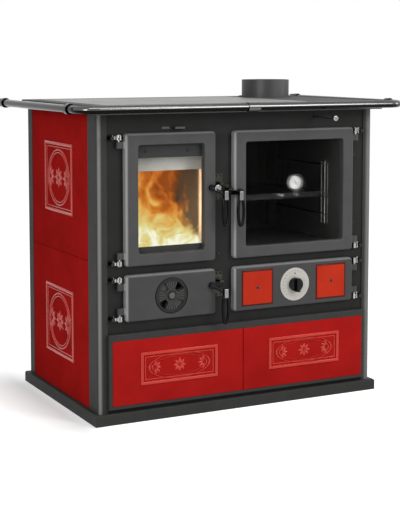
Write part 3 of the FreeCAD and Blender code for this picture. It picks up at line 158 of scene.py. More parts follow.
def axes(vector):
    split = vector.id_data.nodes.new("ShaderNodeSeparateXYZ")
    feed(split.inputs[0], vector)
    return split.outputs


def own_place(tree):
    return tree.nodes.new("ShaderNodeTexCoord").outputs["Object"]


def own_axes(tree):
    return axes(own_place(tree))


print("patterns ready")

# %% Whole trees
def empty_tree(owner):
    owner.use_nodes = True
    owner.node_tree.nodes.clear()
    return owner.node_tree


def seen_directly(tree):
    # 1 for rays from the camera, also by way of metal or glass, and 0 for the light that falls on things
    path = tree.nodes.new("ShaderNodeLightPath")
    mirrored = maths("MAXIMUM", path.outputs["Is Camera Ray"], path.outputs["Is Glossy Ray"])
    return maths("MAXIMUM", mirrored, path.outputs["Is Transmission Ray"])


def mix_shaders(mask, first, second):
    node = mask.id_data.nodes.new("ShaderNodeMixShader")
    for socket, source in zip(node.inputs, (mask, first, second)):
        feed(socket, source)
    return node.outputs[0]


def send_out(shading, kind="ShaderNodeOutputMaterial"):
    feed(shading.id_data.nodes.new(kind).inputs["Surface"], shading)


print("tree helpers ready")

# %% [markdown]
# ## Studio light
#
# A product studio surrounds the object with big soft panels. The white behind the range is not light on the
# range: only rays that go straight to the camera, or by way of metal or glass, see the world as white, and
# everything else gets a calmer grey. A square key panel at the front right lights the doors. Smaller panels
# do the rest: one at each side draws a bright line down the rounded posts and a spark on the rail's corners,
# a strip overhead draws a line along the rail and along the top edges of the doors and tiles, and a weak
# panel behind the range lifts the cooktop. The lines on the posts, the rail and the doors' rims are made
# brighter by painted highlights in their materials.

# %% World and lamps
scene.view_settings.view_transform = "Standard"
world = bpy.data.worlds.new("studio")
scene.world = world
tree = empty_tree(world)
grey_light, white_seen = 0.5, 1.0
backgrounds = []
for strength in (grey_light, white_seen):
    background = tree.nodes.new("ShaderNodeBackground")
    background.inputs["Color"].default_value = (1, 1, 1, 1)
    background.inputs["Strength"].default_value = strength
    backgrounds.append(background.outputs[0])
send_out(mix_shaders(seen_directly(tree), *backgrounds), "ShaderNodeOutputWorld")


def soft_panel(name, place, aim, width, height, watts, colour=(1, 1, 1)):
    lamp = bpy.data.lights.new(name, "AREA")
    lamp.shape = "RECTANGLE"
    lamp.size = width
    lamp.size_y = height
    lamp.energy = watts
    lamp.color = colour
    holder = bpy.data.objects.new(name, lamp)
    scene.collection.objects.link(holder)
    holder.location = place
    holder.rotation_euler = (Vector(aim) - Vector(place)).to_track_quat("-Z", "Y").to_euler()
    return holder


soft_panel("key_panel", (1.9, -3.4, 2.2), (0.1, 0, 0.45), 1.4, 1.4, 72)
soft_panel("left_panel", (-3.0, -2.3, 1.2), (-0.4, -0.2, 0.5), 0.9, 1.2, 46)
soft_panel("right_panel", (3.1, -1.3, 1.2), (0.4, -0.2, 0.5), 0.7, 1.4, 24)
soft_panel("top_strip", (-0.2, -1.9, 2.9), (0, -0.2, 0.6), 2.6, 0.5, 40)
soft_panel("rear_panel", (0.2, 1.6, 3.0), (0, 0, 0.85), 2.4, 0.8, 8)

# %% [markdown]
# ## Shared surface effects
#
# Real finishes are never one flat colour. Most of them share a few effects: cast grain, fine scratches from
# grinding, the faint marks of hands, soot with painted shade, and painted highlights along door rims and post
# corners. Each effect is built once as a node group that gives a height, a mask or a value, and each material
# then uses it at its own scale. The groups read Object coordinates, so a pattern stays fixed to its piece when
# a door swings.

# %% A helper for node groups
def new_group(name, inputs, outputs):
    # An input that starts at None is a vector, and every other socket is a number
    group = bpy.data.node_groups.new(name, "ShaderNodeTree")
    for label, start in inputs.items():
        kind = "NodeSocketVector" if start is None else "NodeSocketFloat"
        socket = group.interface.new_socket(label, in_out="INPUT", socket_type=kind)
        if start is not None:
            socket.default_value = start
    for label in outputs:
        group.interface.new_socket(label, in_out="OUTPUT", socket_type="NodeSocketFloat")
    given = group.nodes.new("NodeGroupInput").outputs
    result = group.nodes.new("NodeGroupOutput").inputs
    return group, given, result


print("group helper ready")

# %% Cast grain: the fine sandy skin that a casting keeps from its mould
cast_grain, given, result = new_group("cast_grain", {"Grain": 900.0}, ("Height", "Blotch"))
place = own_place(cast_grain)
feed(result["Height"], noise(place, given["Grain"], 2.0, 0.6))
wide = noise(place, times(given["Grain"], 0.02), 4.0, 0.6)
feed(result["Blotch"], spread(wide, 0.3, 0.7))
print(cast_grain.name)

# %% Grinding lines: long thin scratches, all one way
grinding, given, result = new_group("grinding_lines", {"Along": 6.0, "Across": 900.0}, ("Height", "Streak"))
join = grinding.nodes.new("ShaderNodeCombineXYZ")
for socket, number, label in zip(join.inputs, own_axes(grinding), ("Along", "Across", "Across")):
    feed(socket, times(number, given[label]))
lines = noise(join.outputs[0], 1.0, 2.0, 0.5)
feed(result["Height"], lines)
feed(result["Streak"], spread(lines, 0.3, 0.7))
print(grinding.name)

# %% Handling: the faint uneven shine that hands and cloths leave
handling, given, result = new_group("handling", {"Size": 9.0, "Low": 0.3, "High": 0.5}, ("Roughness",))
cloud = spread(noise(own_place(handling), given["Size"], 5.0, 0.65), 0.3, 0.7)
gap = minus(given["High"], given["Low"])
feed(result["Roughness"], plus(times(cloud, gap), given["Low"]))
print(handling.name)

# %% Painted edge highlight: a lighter colour painted on a door's left and top rims, standing in for the light that their rounded edges catch
painted_edge_highlight, given, result = new_group("painted_edge_highlight", {"Left": 0.0, "Top": 0.0, "Reach": 9 * MM}, ("Mask",))
x, y, z = own_axes(painted_edge_highlight)
past_left = minus(x, given["Left"])
# The painted highlight is full over the outer part of its reach and fades over the rest
from_left = divide(minus(given["Reach"], past_left), times(given["Reach"], 0.6), clamp=True)
# The hinge lugs stand out to the left of the rim and stay as dark as the rest
from_left = times(from_left, above(past_left, -3 * MM))
from_top = minus(0.6, divide(minus(given["Top"], z), given["Reach"]), clamp=True)
feed(result["Mask"], maths("MAXIMUM", from_left, from_top))
print(painted_edge_highlight.name)

# %% Painted corner highlight: a bright streak painted down the rounded outer corner of a post
CORNER_START = {"Corner X": 0.0, "Corner Y": 0.0, "Way": 1.0, "Full": 6 * MM, "Gone": 17 * MM}
painted_corner_highlight, given, result = new_group("painted_corner_highlight", CORNER_START, ("Mask",))
x, y, z = own_axes(painted_corner_highlight)
# The painted highlight falls off faster towards the back than across the front
inward = times(given["Way"], minus(x, given["Corner X"]))
backward = times(2.2, minus(y, given["Corner Y"]))
left_over = minus(given["Gone"], plus(inward, backward))
feed(result["Mask"], divide(left_over, minus(given["Gone"], given["Full"]), clamp=True))
print(painted_corner_highlight.name)

# %% Soot and painted shade: darker above, lighter low down, with a ragged border
soot_and_shade, given, result = new_group("soot_and_shade", {"Clean height": 0.50, "Sooty height": 0.66}, ("Mask",))
x, y, z = own_axes(soot_and_shade)
ragged = times(noise(own_place(soot_and_shade), 26.0, 5.0, 0.6), 0.12)
height = minus(plus(z, ragged), given["Clean height"])
feed(result["Mask"], divide(height, minus(given["Sooty height"], given["Clean height"]), clamp=True))
print(soot_and_shade.name)

# %% [markdown]
# ## Materials
#
# Each material starts from one Principled shader with the numbers that hold all over its surface. The effects
# then vary its colour, its roughness and its bump. Stove black is dark and dull, so its shine is kept low:
# a bright room reflected in it would turn it grey.

# %% Helpers for a material
materials = {}


def finish(name, colour, metal, roughness, shine, **more):
    material = bpy.data.materials.new(name)
    material.use_nodes = True
    shader = material.node_tree.nodes["Principled BSDF"]
    start = {"Base Color": (*colour, 1), "Metallic": metal, "Roughness": roughness,
             "Specular IOR Level": shine}
    for label, value in {**start, **more}.items():
        shader.inputs[label.replace("_", " ")].default_value = value
    materials[name] = material
    return shader


def use(shader, group, **values):
    # Adds a shared effect to the shader's tree and hands back what the effect gives
    node = shader.id_data.nodes.new("ShaderNodeGroup")
    node.node_tree = group
    for label, value in values.items():
        feed(node.inputs[label.replace("_", " ")], value)
    return node.outputs


def two_tone(shader, mask, first, second):
    # The first colour can be three numbers or the result of an earlier mix
    mix = shader.id_data.nodes.new("ShaderNodeMix")
    mix.data_type = "RGBA"
    feed(mix.inputs["Factor"], mask)
    feed(mix.inputs["A"], (*first, 1) if isinstance(first, tuple) else first)
    feed(mix.inputs["B"], (*second, 1))
    feed(shader.inputs["Base Color"], mix.outputs["Result"])
    return mix.outputs["Result"]


def handled(shader, size, low, high):
    hands = use(shader, handling, Size=size, Low=low, High=high)
    feed(shader.inputs["Roughness"], hands["Roughness"])


def bump(shader, height, strength, depth):
    node = shader.id_data.nodes.new("ShaderNodeBump")
    for label, value in (("Height", height), ("Strength", strength), ("Distance", depth)):
        feed(node.inputs[label], value)
    feed(shader.inputs["Normal"], node.outputs["Normal"])


print("material helpers ready")

# %% Stove black paints and castings
def stove_black(name, light, dark, shine, grain, strength, low, high):
    # Low and high are the least and the most roughness
    shader = finish(name, light, 0.0, low, shine)
    skin = use(shader, cast_grain, Grain=grain)
    handled(shader, 7.0, low, high)
    bump(shader, skin["Height"], strength, 0.4 * MM)
    return shader, two_tone(shader, skin["Blotch"], light, dark)


stove_black("black_enamel", (0.034, 0.034, 0.033), (0.029, 0.029, 0.028), 0.03, 1400.0, 0.10, 0.34, 0.44)
# This enamel is darker than the posts' as painted shade: the front frame lies deeper, behind the doors
stove_black("frame_enamel_painted_shade", (0.016, 0.016, 0.0155), (0.0135, 0.0135, 0.013), 0.08, 1400.0, 0.10, 0.36, 0.48)
stove_black("front_enamel", (0.028, 0.029, 0.028), (0.024, 0.025, 0.024), 0.10, 1400.0, 0.10, 0.34, 0.44)
stove_black("flue_enamel", (0.014, 0.014, 0.0135), (0.011, 0.011, 0.0105), 0.6, 1400.0, 0.10, 0.45, 0.55)
stove_black("oven_enamel", (0.014, 0.014, 0.0135), (0.018, 0.018, 0.0175), 0.06, 900.0, 0.06, 0.40, 0.50)
stove_black("cast_iron", (0.030, 0.028, 0.027), (0.018, 0.017, 0.016), 0.3, 700.0, 0.6, 0.6, 0.8)
stove_black("black_paint", (0.006, 0.006, 0.006), (0.009, 0.009, 0.009), 0.3, 1500.0, 0.05, 0.3, 0.4)
stove_black("knob_plastic", (0.002, 0.002, 0.002), (0.003, 0.003, 0.003), 0.14, 1800.0, 0.05, 0.10, 0.16)
print(sorted(materials))

# %% Stove black with a painted highlight along an edge: posts and doors
# The left post's corner gets a narrow, bright painted highlight, and the right one's a dimmer, wider one
for side, way, painted_glint, full, gone in (("left", 1.0, (0.23, 0.23, 0.228), 3 * MM, 12.5 * MM),
                                     ("right", -1.0, (0.13, 0.13, 0.128), 12 * MM, 21 * MM)):
    low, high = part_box("post_front_" + side)
    shader, colour = stove_black("post_enamel_" + side, (0.034, 0.034, 0.033), (0.030, 0.030, 0.029),
                                 0.03, 1400.0, 0.10, 0.34, 0.44)
    corner_highlight = use(shader, painted_corner_highlight, Corner_X=low.x if side == "left" else high.x, Corner_Y=low.y,
                 Way=way, Full=full, Gone=gone)
    two_tone(shader, corner_highlight["Mask"], colour, painted_glint)

# The left rims of the doors over and under each other share one X
FIRE_RIM, OVEN_RIM = -360 * MM, -31 * MM
for node, left, light in (("fire_door_frame", FIRE_RIM, 0.050), ("ash_door", FIRE_RIM, 0.042),
                          ("oven_door_frame", OVEN_RIM, 0.050), ("control_door", OVEN_RIM, 0.040)):
    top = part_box(node)[1].z - 0.8 * MM
    shader, colour = stove_black("door_iron_" + node, (light,) * 3, (light * 0.84,) * 3,
                                 0.16, 1100.0, 0.25, 0.32, 0.42)
    # Each door's left and top rims get a painted highlight: a lighter colour where the rounded edges would catch
    # the light
    rim_highlight = use(shader, painted_edge_highlight, Left=left, Top=top)
    two_tone(shader, rim_highlight["Mask"], colour, (0.21, 0.21, 0.212))
print("posts and doors, with", len(materials), "materials so far")

# %% [markdown]
# Metals reflect almost everything, so their base colour is the tint of the reflection and the roughness does
# the rest. The handles are black chrome, with a dark tint, and the hinge pins are bright chrome. The cooktop
# is ground steel, whose scratches run from side to side. The rail is dark with a painted highlight band, the
# hinges are bright only on their knuckles, and the levers only on their clasps.

# %% Metals, and the cooktop plate inside its frame of dark ground iron
def scratched(name, light, dark, low, high, lines, strength, metal=1.0, shine=0.5, along=6.0, size=12.0):
    # Low and high are the least and the most roughness
    shader = finish(name, light, metal, low, shine)
    marks = use(shader, grinding, Along=along, Across=lines)
    two_tone(shader, marks["Streak"], light, dark)
    handled(shader, size, low, high)
    bump(shader, marks["Height"], strength, 0.3 * MM)


scratched("chrome", (0.34, 0.34, 0.335), (0.28, 0.28, 0.275), 0.12, 0.22, 900.0, 0.03)
scratched("dull_chrome", (0.10, 0.10, 0.098), (0.08, 0.08, 0.078), 0.12, 0.2, 900.0, 0.03)
scratched("dark_chrome", (0.010, 0.010, 0.010), (0.008, 0.008, 0.008), 0.12, 0.2, 900.0, 0.02)
scratched("catch_zinc", (0.050, 0.053, 0.042), (0.016, 0.017, 0.013), 0.26, 0.40, 500.0, 0.1)
scratched("casing_steel", (0.10, 0.10, 0.10), (0.075, 0.075, 0.075), 0.4, 0.55, 500.0, 0.08)
scratched("ground_steel", (0.21, 0.21, 0.205), (0.16, 0.16, 0.155), 0.38, 0.5, 700.0, 0.12,
          metal=0.6, shine=0.3, along=8.0, size=6.0)
scratched("cooktop_iron", (0.070, 0.070, 0.069), (0.057, 0.057, 0.056), 0.56, 0.66, 500.0, 0.08,
          metal=0.0, shine=0.08, along=8.0, size=6.0)
print("metals, with", len(materials), "materials so far")

# %% Two-part castings: bright knuckles on dark feet, bright clasps on dark arms
def bright_end(name, choose, dark, bright):
    # The choose function turns the piece's own X, Y and Z into a mask that is 1 where the metal is bright
    shader = finish(name, dark, 1.0, 0.2, 0.5)
    two_tone(shader, choose(*own_axes(shader.id_data)), dark, bright)
    handled(shader, 14.0, 0.12, 0.24)


def knuckles(x, y, z):
    # The feet stay dark, and the knuckles between them have turned grooves
    feet_start, grooves_per_metre, groove_share = 0.391, 125.0, 0.30
    out = maths("ABSOLUTE", x)
    turned = maths("FRACT", times(out, grooves_per_metre))
    return times(below(out, feet_start), above(turned, groove_share))


def clasps(x, y, z):
    # A clasp stands out in front of the doors, further left on the fire and ash levers than on the oven's
    places, half_width, front = (-72 * MM, -25 * MM), 5.8 * MM, -305.5 * MM
    near = [maths("ABSOLUTE", minus(x, place)) for place in places]
    beside = below(maths("MINIMUM", *near), half_width)
    return times(beside, below(y, front))


print("knuckles and clasps")

# %% Oven racks and rail: painted highlights where they face the light
rack_low, rack_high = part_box("oven_side_racks")


def painted_rack_highlight(x, y, z):
    # A painted highlight on the upright wires nearest the door, on their sides towards the oven's middle
    wall_side, nearest = 2.2 * MM, 12 * MM
    out = maths("ABSOLUTE", minus(x, (rack_low.x + rack_high.x) / 2))
    inner = below(out, (rack_high.x - rack_low.x) / 2 - wall_side)
    return times(below(y, rack_low.y + nearest), inner)


def painted_rail_reflection(x, y, z):
    # Along the front a bright band is painted on the rail as a painted reflection, and along the sides only a thin
    # line on top
    rail_radius, front_start, blur = 10.6 * MM, -305 * MM, 1.5 * MM
    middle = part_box("rail_left")[1].z - rail_radius

    def band(bottom, top):
        lower = divide(minus(z, middle + bottom), blur, clamp=True)
        upper = divide(minus(middle + top, z), blur, clamp=True)
        return times(lower, upper)

    front = below(y, front_start)
    sides = times(times(minus(1.0, front), band(5 * MM, 9.2 * MM)), 0.5)
    return plus(times(front, band(-3.5 * MM, 7.5 * MM)), sides)


bright_end("rack_wire", painted_rack_highlight, (0.045, 0.045, 0.044), (0.72, 0.72, 0.71))
bright_end("rail_steel", painted_rail_reflection, (0.006, 0.006, 0.006), (0.11, 0.11, 0.108))
bright_end("hinge_chrome", knuckles, (0.012, 0.012, 0.012), (0.32, 0.32, 0.31))
bright_end("lever_chrome", clasps, (0.014, 0.014, 0.014), (0.20, 0.20, 0.195))
print("racks, rail, hinges and levers")

# %% Oven lining: dark enamel, with painted light on the strip of the right wall next to the door
STRIP_BACK, STRIP_FRONT, RIGHT_WALL = -165 * MM, -235 * MM, 300 * MM
shader = finish("oven_steel", (0.013, 0.013, 0.0125), 0.0, 0.4, 0.3)
x, y, z = own_axes(shader.id_data)
# The strip is painted lighter as painted light, where light through the door falls on the right wall
painted_light_strip = times(spread(y, STRIP_BACK, STRIP_FRONT), above(x, RIGHT_WALL), clamp=True)
two_tone(shader, painted_light_strip, (0.013, 0.013, 0.012), (0.050, 0.050, 0.049))
handled(shader, 5.0, 0.34, 0.5)
print("oven lining")

# %% Firebrick with its soot and painted shade, and the baffle board
MARGIN_FRONT, MARGIN_LEFT = -209.5 * MM, -105 * MM
shader = finish("fire_lining", (0.3, 0.24, 0.19), 0.0, 0.85, 0.2)
soot_and_shade_mask = use(shader, soot_and_shade, Clean_height=0.535, Sooty_height=0.56)
# Where the mask is full the firebrick is painted dark, as soot and painted shade together
sooted_and_shaded = two_tone(shader, soot_and_shade_mask["Mask"], (0.46, 0.32, 0.25), (0.060, 0.050, 0.040))
bump(shader, use(shader, cast_grain, Grain=450.0)["Height"], 0.6, 1 * MM)

# The front margin of the right lining gets painted light: a pale colour for the fire's glow on its front edge
x, y, z = own_axes(shader.id_data)
painted_fire_glow = times(below(y, MARGIN_FRONT), above(x, MARGIN_LEFT))
two_tone(shader, painted_fire_glow, sooted_and_shaded, (0.80, 0.66, 0.50))

shader = finish("baffle_board", (0.42, 0.41, 0.38), 0.0, 0.8, 0.2)
skin = use(shader, cast_grain, Grain=500.0)
two_tone(shader, skin["Blotch"], (0.44, 0.43, 0.40), (0.36, 0.35, 0.32))
bump(shader, skin["Height"], 0.4, 0.8 * MM)
print("firebrick and baffle board")

# %% [markdown]
# The glaze is the colour that sells the range. A deep red glass lies over the clay: it ripples slightly and
# pools darker in places. Four reds share the ripple: one for the flat of a large tile, a lighter one for its
# relief, where the glaze runs thin, an orange one for the small tiles, and a dark one for their edges, which
# is painted shade for the outline round each small tile.

# %% Glaze ripple group and the four reds
ripple, given, result = new_group("glaze_ripple", {"Wave": 16.0}, ("Height", "Pool"))
place = own_place(ripple)
feed(result["Height"], noise(place, given["Wave"], 2.0, 0.45))
feed(result["Pool"], spread(noise(place, times(given["Wave"], 0.6), 5.0, 0.6), 0.3, 0.7))


def glaze(name, light, dark, shine):
    shader = finish(name, light, 0.0, 0.16, shine)
    wave = use(shader, ripple)
    two_tone(shader, wave["Pool"], light, dark)
    handled(shader, 8.0, 0.12, 0.24)
    bump(shader, wave["Height"], 0.25, 2 * MM)


glaze("red_tile", (0.300, 0.0098, 0.0086), (0.240, 0.0076, 0.0068), 0.0)
glaze("red_relief", (0.42, 0.024, 0.013), (0.37, 0.018, 0.010), 0.26)
glaze("red_small_tile", (0.38, 0.026, 0.010), (0.32, 0.018, 0.008), 0.02)
# The small tiles' edge red is dark as painted shade: an outline of shadow round each small tile
glaze("red_small_edge_shade", (0.075, 0.006, 0.004), (0.060, 0.005, 0.003), 0.10)
print("four reds")

# %% Glass and rope seal
finish("door_glass", (0.85, 0.87, 0.85), 0.0, 0.0, 0.2, Transmission_Weight=1.0, IOR=1.12, Alpha=0.35)

shader = finish("seal_rope", (0.03, 0.03, 0.03), 0.0, 0.9, 0.2)
weave = shader.id_data.nodes.new("ShaderNodeTexWave")
weave.wave_type = "BANDS"
weave.bands_direction = "DIAGONAL"
weave.inputs["Scale"].default_value = 300.0
feed(weave.inputs["Vector"], own_place(shader.id_data))
two_tone(shader, weave.outputs["Fac"], (0.022, 0.022, 0.022), (0.05, 0.05, 0.048))
bump(shader, weave.outputs["Fac"], 0.6, 0.8 * MM)
print("glass and rope")

# %% [markdown]
# A dial's marks stand on a circle, so they are easiest to draw in polar terms: the angle round the centre
# picks out the ticks, and the distance from it keeps them in a ring. The group measures both from Object
# coordinates that a Mapping node has centred on the dial. The air regulator's disc gets its ribs in this way.

# %% Dial ticks group
TICKS_START = {"Count": 36.0, "Inner": 36 * MM, "Outer": 41 * MM, "Share": 0.16, "Start": -2.4, "End": 2.4,
               "Centred": None}
ticks, given, result = new_group("dial_ticks", TICKS_START, ("Mask",))
across, depth, upward = axes(given["Centred"])
radius = distance(across, upward)
angle = maths("ARCTAN2", across, upward)
turn = times(angle, 1 / (2 * math.pi))
# The half centres a tick on the top, and the hundred keeps the sum above zero
phase = maths("FRACT", plus(times(turn, given["Count"]), 100.5))
mark = below(maths("ABSOLUTE", minus(phase, 0.5)), given["Share"])
ring = times(above(radius, given["Inner"]), below(radius, given["Outer"]))
arc = times(above(angle, given["Start"]), below(angle, given["End"]))
feed(result["Mask"], times(times(mark, ring), arc))
print(ticks.name)

# %% Dial faces
def dial_face(name, centre, ground, ink, metal, rough, shine, **values):
    shader = finish(name, ground, metal, rough, shine)
    centred = mapped(own_place(shader.id_data), "Location", [-c for c in centre])
    marks = use(shader, ticks, Centred=centred, **values)
    two_tone(shader, marks["Mask"], ground, ink)
    bump(shader, use(shader, cast_grain, Grain=1800.0)["Height"], 0.05, 0.2 * MM)


dial_low, dial_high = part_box("thermostat_dial")
dial_centre = (dial_low + dial_high) / 2
dial_face("dial_aluminium", dial_centre, (0.36, 0.348, 0.315), (0.07, 0.069, 0.066), 0.1, 0.42, 0.4,
          Count=24.0, Inner=37.5 * MM, Outer=40.5 * MM, Share=0.09, Start=-2.6, End=0.6)
needle_joint = next(j for j in frame["joints"] if j["name"] == "thermometer_turn")
gauge_centre = Vector(needle_joint["pos_m"])
dial_face("gauge_face", gauge_centre, (0.80, 0.79, 0.76), (0.10, 0.10, 0.10), 0.0, 0.4, 0.4,
          Count=20.0, Inner=16 * MM, Outer=18.2 * MM, Share=0.12, Start=-2.4, End=2.4)
disc_low, disc_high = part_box("air_regulator_disc")
dial_face("ribbed_disc", (disc_low + disc_high) / 2, (0.022, 0.022, 0.0215), (0.075, 0.076, 0.073), 0.0, 0.42,
          0.05, Count=30.0, Inner=14 * MM, Outer=38.5 * MM, Share=0.13, Start=-3.2, End=3.2)
print("dial centre", [round(c, 4) for c in dial_centre])

# %% [markdown]
# ## Paint the CAD pieces
#
# Every CAD node has a finish in the record. Most shapes are already right, so they only get their material. A
# few get a variant of it: the baffle is paler than the firebrick, the front frame is painted darker than the
# posts as painted shade for its deeper place, and hinges and levers are bright only on their knuckles and
# clasps.

# %% Assign finishes
def paint(piece, name):
    piece.data.materials.clear()
    piece.data.materials.append(materials[name])


finishes = {part["node"]: part["material_slot"] for part in frame["record"]["subparts"]}
finishes.update({
    "baffle_plate": "baffle_board", "flue_collar": "flue_enamel", "front_frame": "frame_enamel_painted_shade",
    "back_panel": "frame_enamel_painted_shade", "drawer_front": "front_enamel", "fire_glass_strips": "front_enamel",
    "catch_plates": "catch_zinc", "hinge_brackets": "hinge_chrome", "air_regulator_disc": "ribbed_disc",
    "thermometer_case": "dull_chrome", "air_slider": "dull_chrome", "rail_sleeve": "dull_chrome"})
for side in ("left", "right"):
    finishes["post_front_" + side] = "post_enamel_" + side
for node in ("fire_handle_lever", "ash_handle_lever", "oven_handle_lever"):
    finishes[node] = "lever_chrome"
for node in ("fire_door_frame", "ash_door", "oven_door_frame", "control_door"):
    finishes[node] = "door_iron_" + node
for node, name in finishes.items():
    paint(nodes[node], name)
print("painted", len(finishes), "nodes")

# %% [markdown]
# ## Helpers for modelling
#
# The operators work on whatever is selected, so each helper first clears the selection. Faces and edges are
# then picked by where they are or which way they point, as one would pick them by eye.

# %% Selection helpers
def clear_selection():
    if bpy.context.object and bpy.context.object.mode != "OBJECT":
        bpy.ops.object.mode_set(mode="OBJECT")
    bpy.ops.object.select_all(action="DESELECT")


def take(piece):
    clear_selection()
    piece.select_set(True)
    bpy.context.view_layer.objects.active = piece


def start_picking(kind):
    bpy.ops.object.mode_set(mode="EDIT")
    bpy.ops.mesh.select_mode(type=kind)
    bpy.ops.mesh.select_all(action="DESELECT")
    bpy.ops.object.mode_set(mode="OBJECT")


def pick_faces(piece, test):
    start_picking("FACE")
    for face in piece.data.polygons:
        face.select = bool(test(face.center, face.normal))
    bpy.ops.object.mode_set(mode="EDIT")


def pick_edges(piece, test):
    start_picking("EDGE")
    points = piece.data.vertices
    for edge in piece.data.edges:
        a, b = (points[i].co for i in edge.vertices)
        edge.select = bool(test((a + b) / 2, (b - a).normalized()))
    bpy.ops.object.mode_set(mode="EDIT")


def pick_all():
    bpy.ops.object.mode_set(mode="EDIT")
    bpy.ops.mesh.select_all(action="SELECT")


def faces_up(centre, normal):
    return normal.z > 0.99


print("selection helpers ready")

# %% Editing and placing helpers
def settle(piece):
    # Leaves edit mode, and puts the object at the origin with its place in its mesh
    take(piece)
    bpy.ops.object.transform_apply(location=True, rotation=True, scale=True)


def new_form(name):
    # Names and settles what an operator has just added
    piece = bpy.context.object
    piece.name = name
    settle(piece)
    return piece


def sized_box(name, width, height, depth, middle_z):
    clear_selection()
    bpy.ops.mesh.primitive_cube_add(size=1, location=(0, 0, middle_z))
    bpy.context.object.scale = (width, height, depth)
    return new_form(name)


def sized_can(name, vertices, radius, depth, middle_z=0):
    clear_selection()
    bpy.ops.mesh.primitive_cylinder_add(vertices=vertices, radius=radius, depth=depth,
                                        location=(0, 0, middle_z))
    return new_form(name)


def round_picked(offset, segments):
    bpy.ops.mesh.bevel(offset=offset, segments=segments, affect="EDGES")
    bpy.ops.object.mode_set(mode="OBJECT")


def own_copy(piece, name):
    copy = piece.copy()
    copy.data = piece.data.copy()
    copy.name = name
    scene.collection.objects.link(copy)
    return copy


def stand_at(piece, facing, place):
    # Every form is made lying flat, face up, and this stands it up and moves it to its place
    piece.rotation_euler = (math.pi / 2, 0, {"front": 0, "left": -math.pi / 2, "right": math.pi / 2}[facing])
    piece.location = place
    settle(piece)


def smooth(piece, degrees=35):
    take(piece)
    bpy.ops.object.shade_smooth_by_angle(angle=math.radians(degrees))


def dress(piece, material, body):
    if material:
        paint(piece, material)
    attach(piece, body)


print("editing helpers ready")

# %% [markdown]
# ## Glazed tiles
#
# Each tile is a slab with softened edges and a pressed relief: a half-round moulding that frames a panel, and
# inside it two plain ovals round a rosette with a spray of leaves at each side, a traditional motif of stove
# tiles. A slab begins as a cube that is sized and bevelled. The moulding begins as a flat box whose top and
# bottom are inset, bridged into a ring and rounded over. One leaf is shaped from a sphere and copied. All
# tiles are modelled lying flat, face up, and are stood up last, because that keeps the arithmetic simple.

# %% Slab and bead
def soft_slab(name, width, height, depth, edge):
    slab = sized_box(name, width, height, depth, -depth / 2)
    pick_all()
    round_picked(edge, 3)
    return slab


def bead_frame(width, height, band, rise):
    # A mitred half-round moulding: a flat box becomes a ring, its edges are rounded, then it is pressed flat
    full = band / 2
    bead = sized_box("bead", width, height, full + 0.4 * MM, (full - 0.4 * MM) / 2)
    pick_faces(bead, lambda centre, normal: abs(normal.z) > 0.9)
    bpy.ops.mesh.inset(thickness=band, use_individual=True)
    bpy.ops.mesh.bridge_edge_loops()
    pick_edges(bead, lambda middle, way: middle.z > full - 0.1 * MM and max(abs(way.x), abs(way.y)) > 0.999)
    bpy.ops.mesh.bevel(offset=full * 0.94, segments=5, affect="EDGES")
    bpy.ops.mesh.select_all(action="SELECT")
    bpy.ops.transform.resize(value=(1, 1, rise / full))
    bpy.ops.object.mode_set(mode="OBJECT")
    return bead


def oval_ring(half_width, half_height, thick, rise):
    clear_selection()
    bpy.ops.mesh.primitive_torus_add(major_radius=half_width, minor_radius=thick / 2, major_segments=72,
                                     minor_segments=10)
    pick_all()
    bpy.ops.transform.resize(value=(1, half_height / half_width, rise * 2 / thick))
    return new_form("oval_ring")


sample = bead_frame(200 * MM, 180 * MM, 9 * MM, 2.5 * MM)
print("bead faces:", len(sample.data.polygons))
bpy.data.objects.remove(sample)

# %% Leaf, rosette and spray
def leaf_form(length, width, rise):
    # A flattened ball with its tips drawn in, so that it ends in points
    clear_selection()
    bpy.ops.mesh.primitive_uv_sphere_add(segments=10, ring_count=8, radius=0.5)
    bpy.context.object.rotation_euler = (0, math.pi / 2, 0)
    leaf = new_form("leaf")
    pick_all()
    bpy.ops.transform.resize(value=(length, width, rise * 2))
    bpy.ops.mesh.select_all(action="DESELECT")
    bpy.ops.object.mode_set(mode="OBJECT")
    for point in leaf.data.vertices:
        point.select = abs(point.co.x) > length * 0.33
    bpy.ops.object.mode_set(mode="EDIT")
    bpy.ops.mesh.select_mode(type="VERT")
    bpy.ops.transform.resize(value=(1, 0.45, 0.7))
    settle(leaf)
    return leaf


def leaf_at(leaf, centre, reach, turn):
    # A copy of the leaf that points away from the centre
    copy = own_copy(leaf, "leaf_copy")
    copy.location = (centre[0] + reach * math.cos(turn), centre[1] + reach * math.sin(turn), 0)
    copy.rotation_euler = (0, 0, turn)
    return copy


def rosette(leaf, petals, reach):
    return [leaf_at(leaf, (0, 0), reach, 2 * math.pi * index / petals) for index in range(petals)]


def spray(leaf, place, heading, count, size):
    # A fan of leaves that opens from one point
    turns = [heading + math.radians(38) * (index - (count - 1) / 2) for index in range(count)]
    return [leaf_at(leaf, place, size * 0.7, turn) for turn in turns]


print("leaf helpers ready")

# %% A whole tile
def tile_relief(frame_size, oval, rise, leaf_size):
    # A broad and a fine moulding, a thick and a thin oval, a rosette, and a spray of leaves at each side
    broad, fine, thick, thin = 9 * MM, 3 * MM, 5.5 * MM, 4 * MM
    inner_size = [side - 26 * MM for side in frame_size]
    reach, tall = oval[0] / 2, oval[1] / 2
    relief = [bead_frame(*frame_size, broad, rise),
              bead_frame(*inner_size, fine, rise * 0.4),
              oval_ring(reach, tall, thick, rise * 0.95),
              oval_ring(reach - 9 * MM, tall - 8 * MM, thin, rise * 0.8)]
    leaf = leaf_form(leaf_size, leaf_size * 0.46, rise * 0.95)
    relief += rosette(leaf, 8, leaf_size * 0.62)
    for side in (0, math.pi):
        near = (math.cos(side) * (reach - 16 * MM), 0)
        relief += spray(leaf, near, side + math.pi, 5, leaf_size)
    bpy.data.objects.remove(leaf)
    return relief


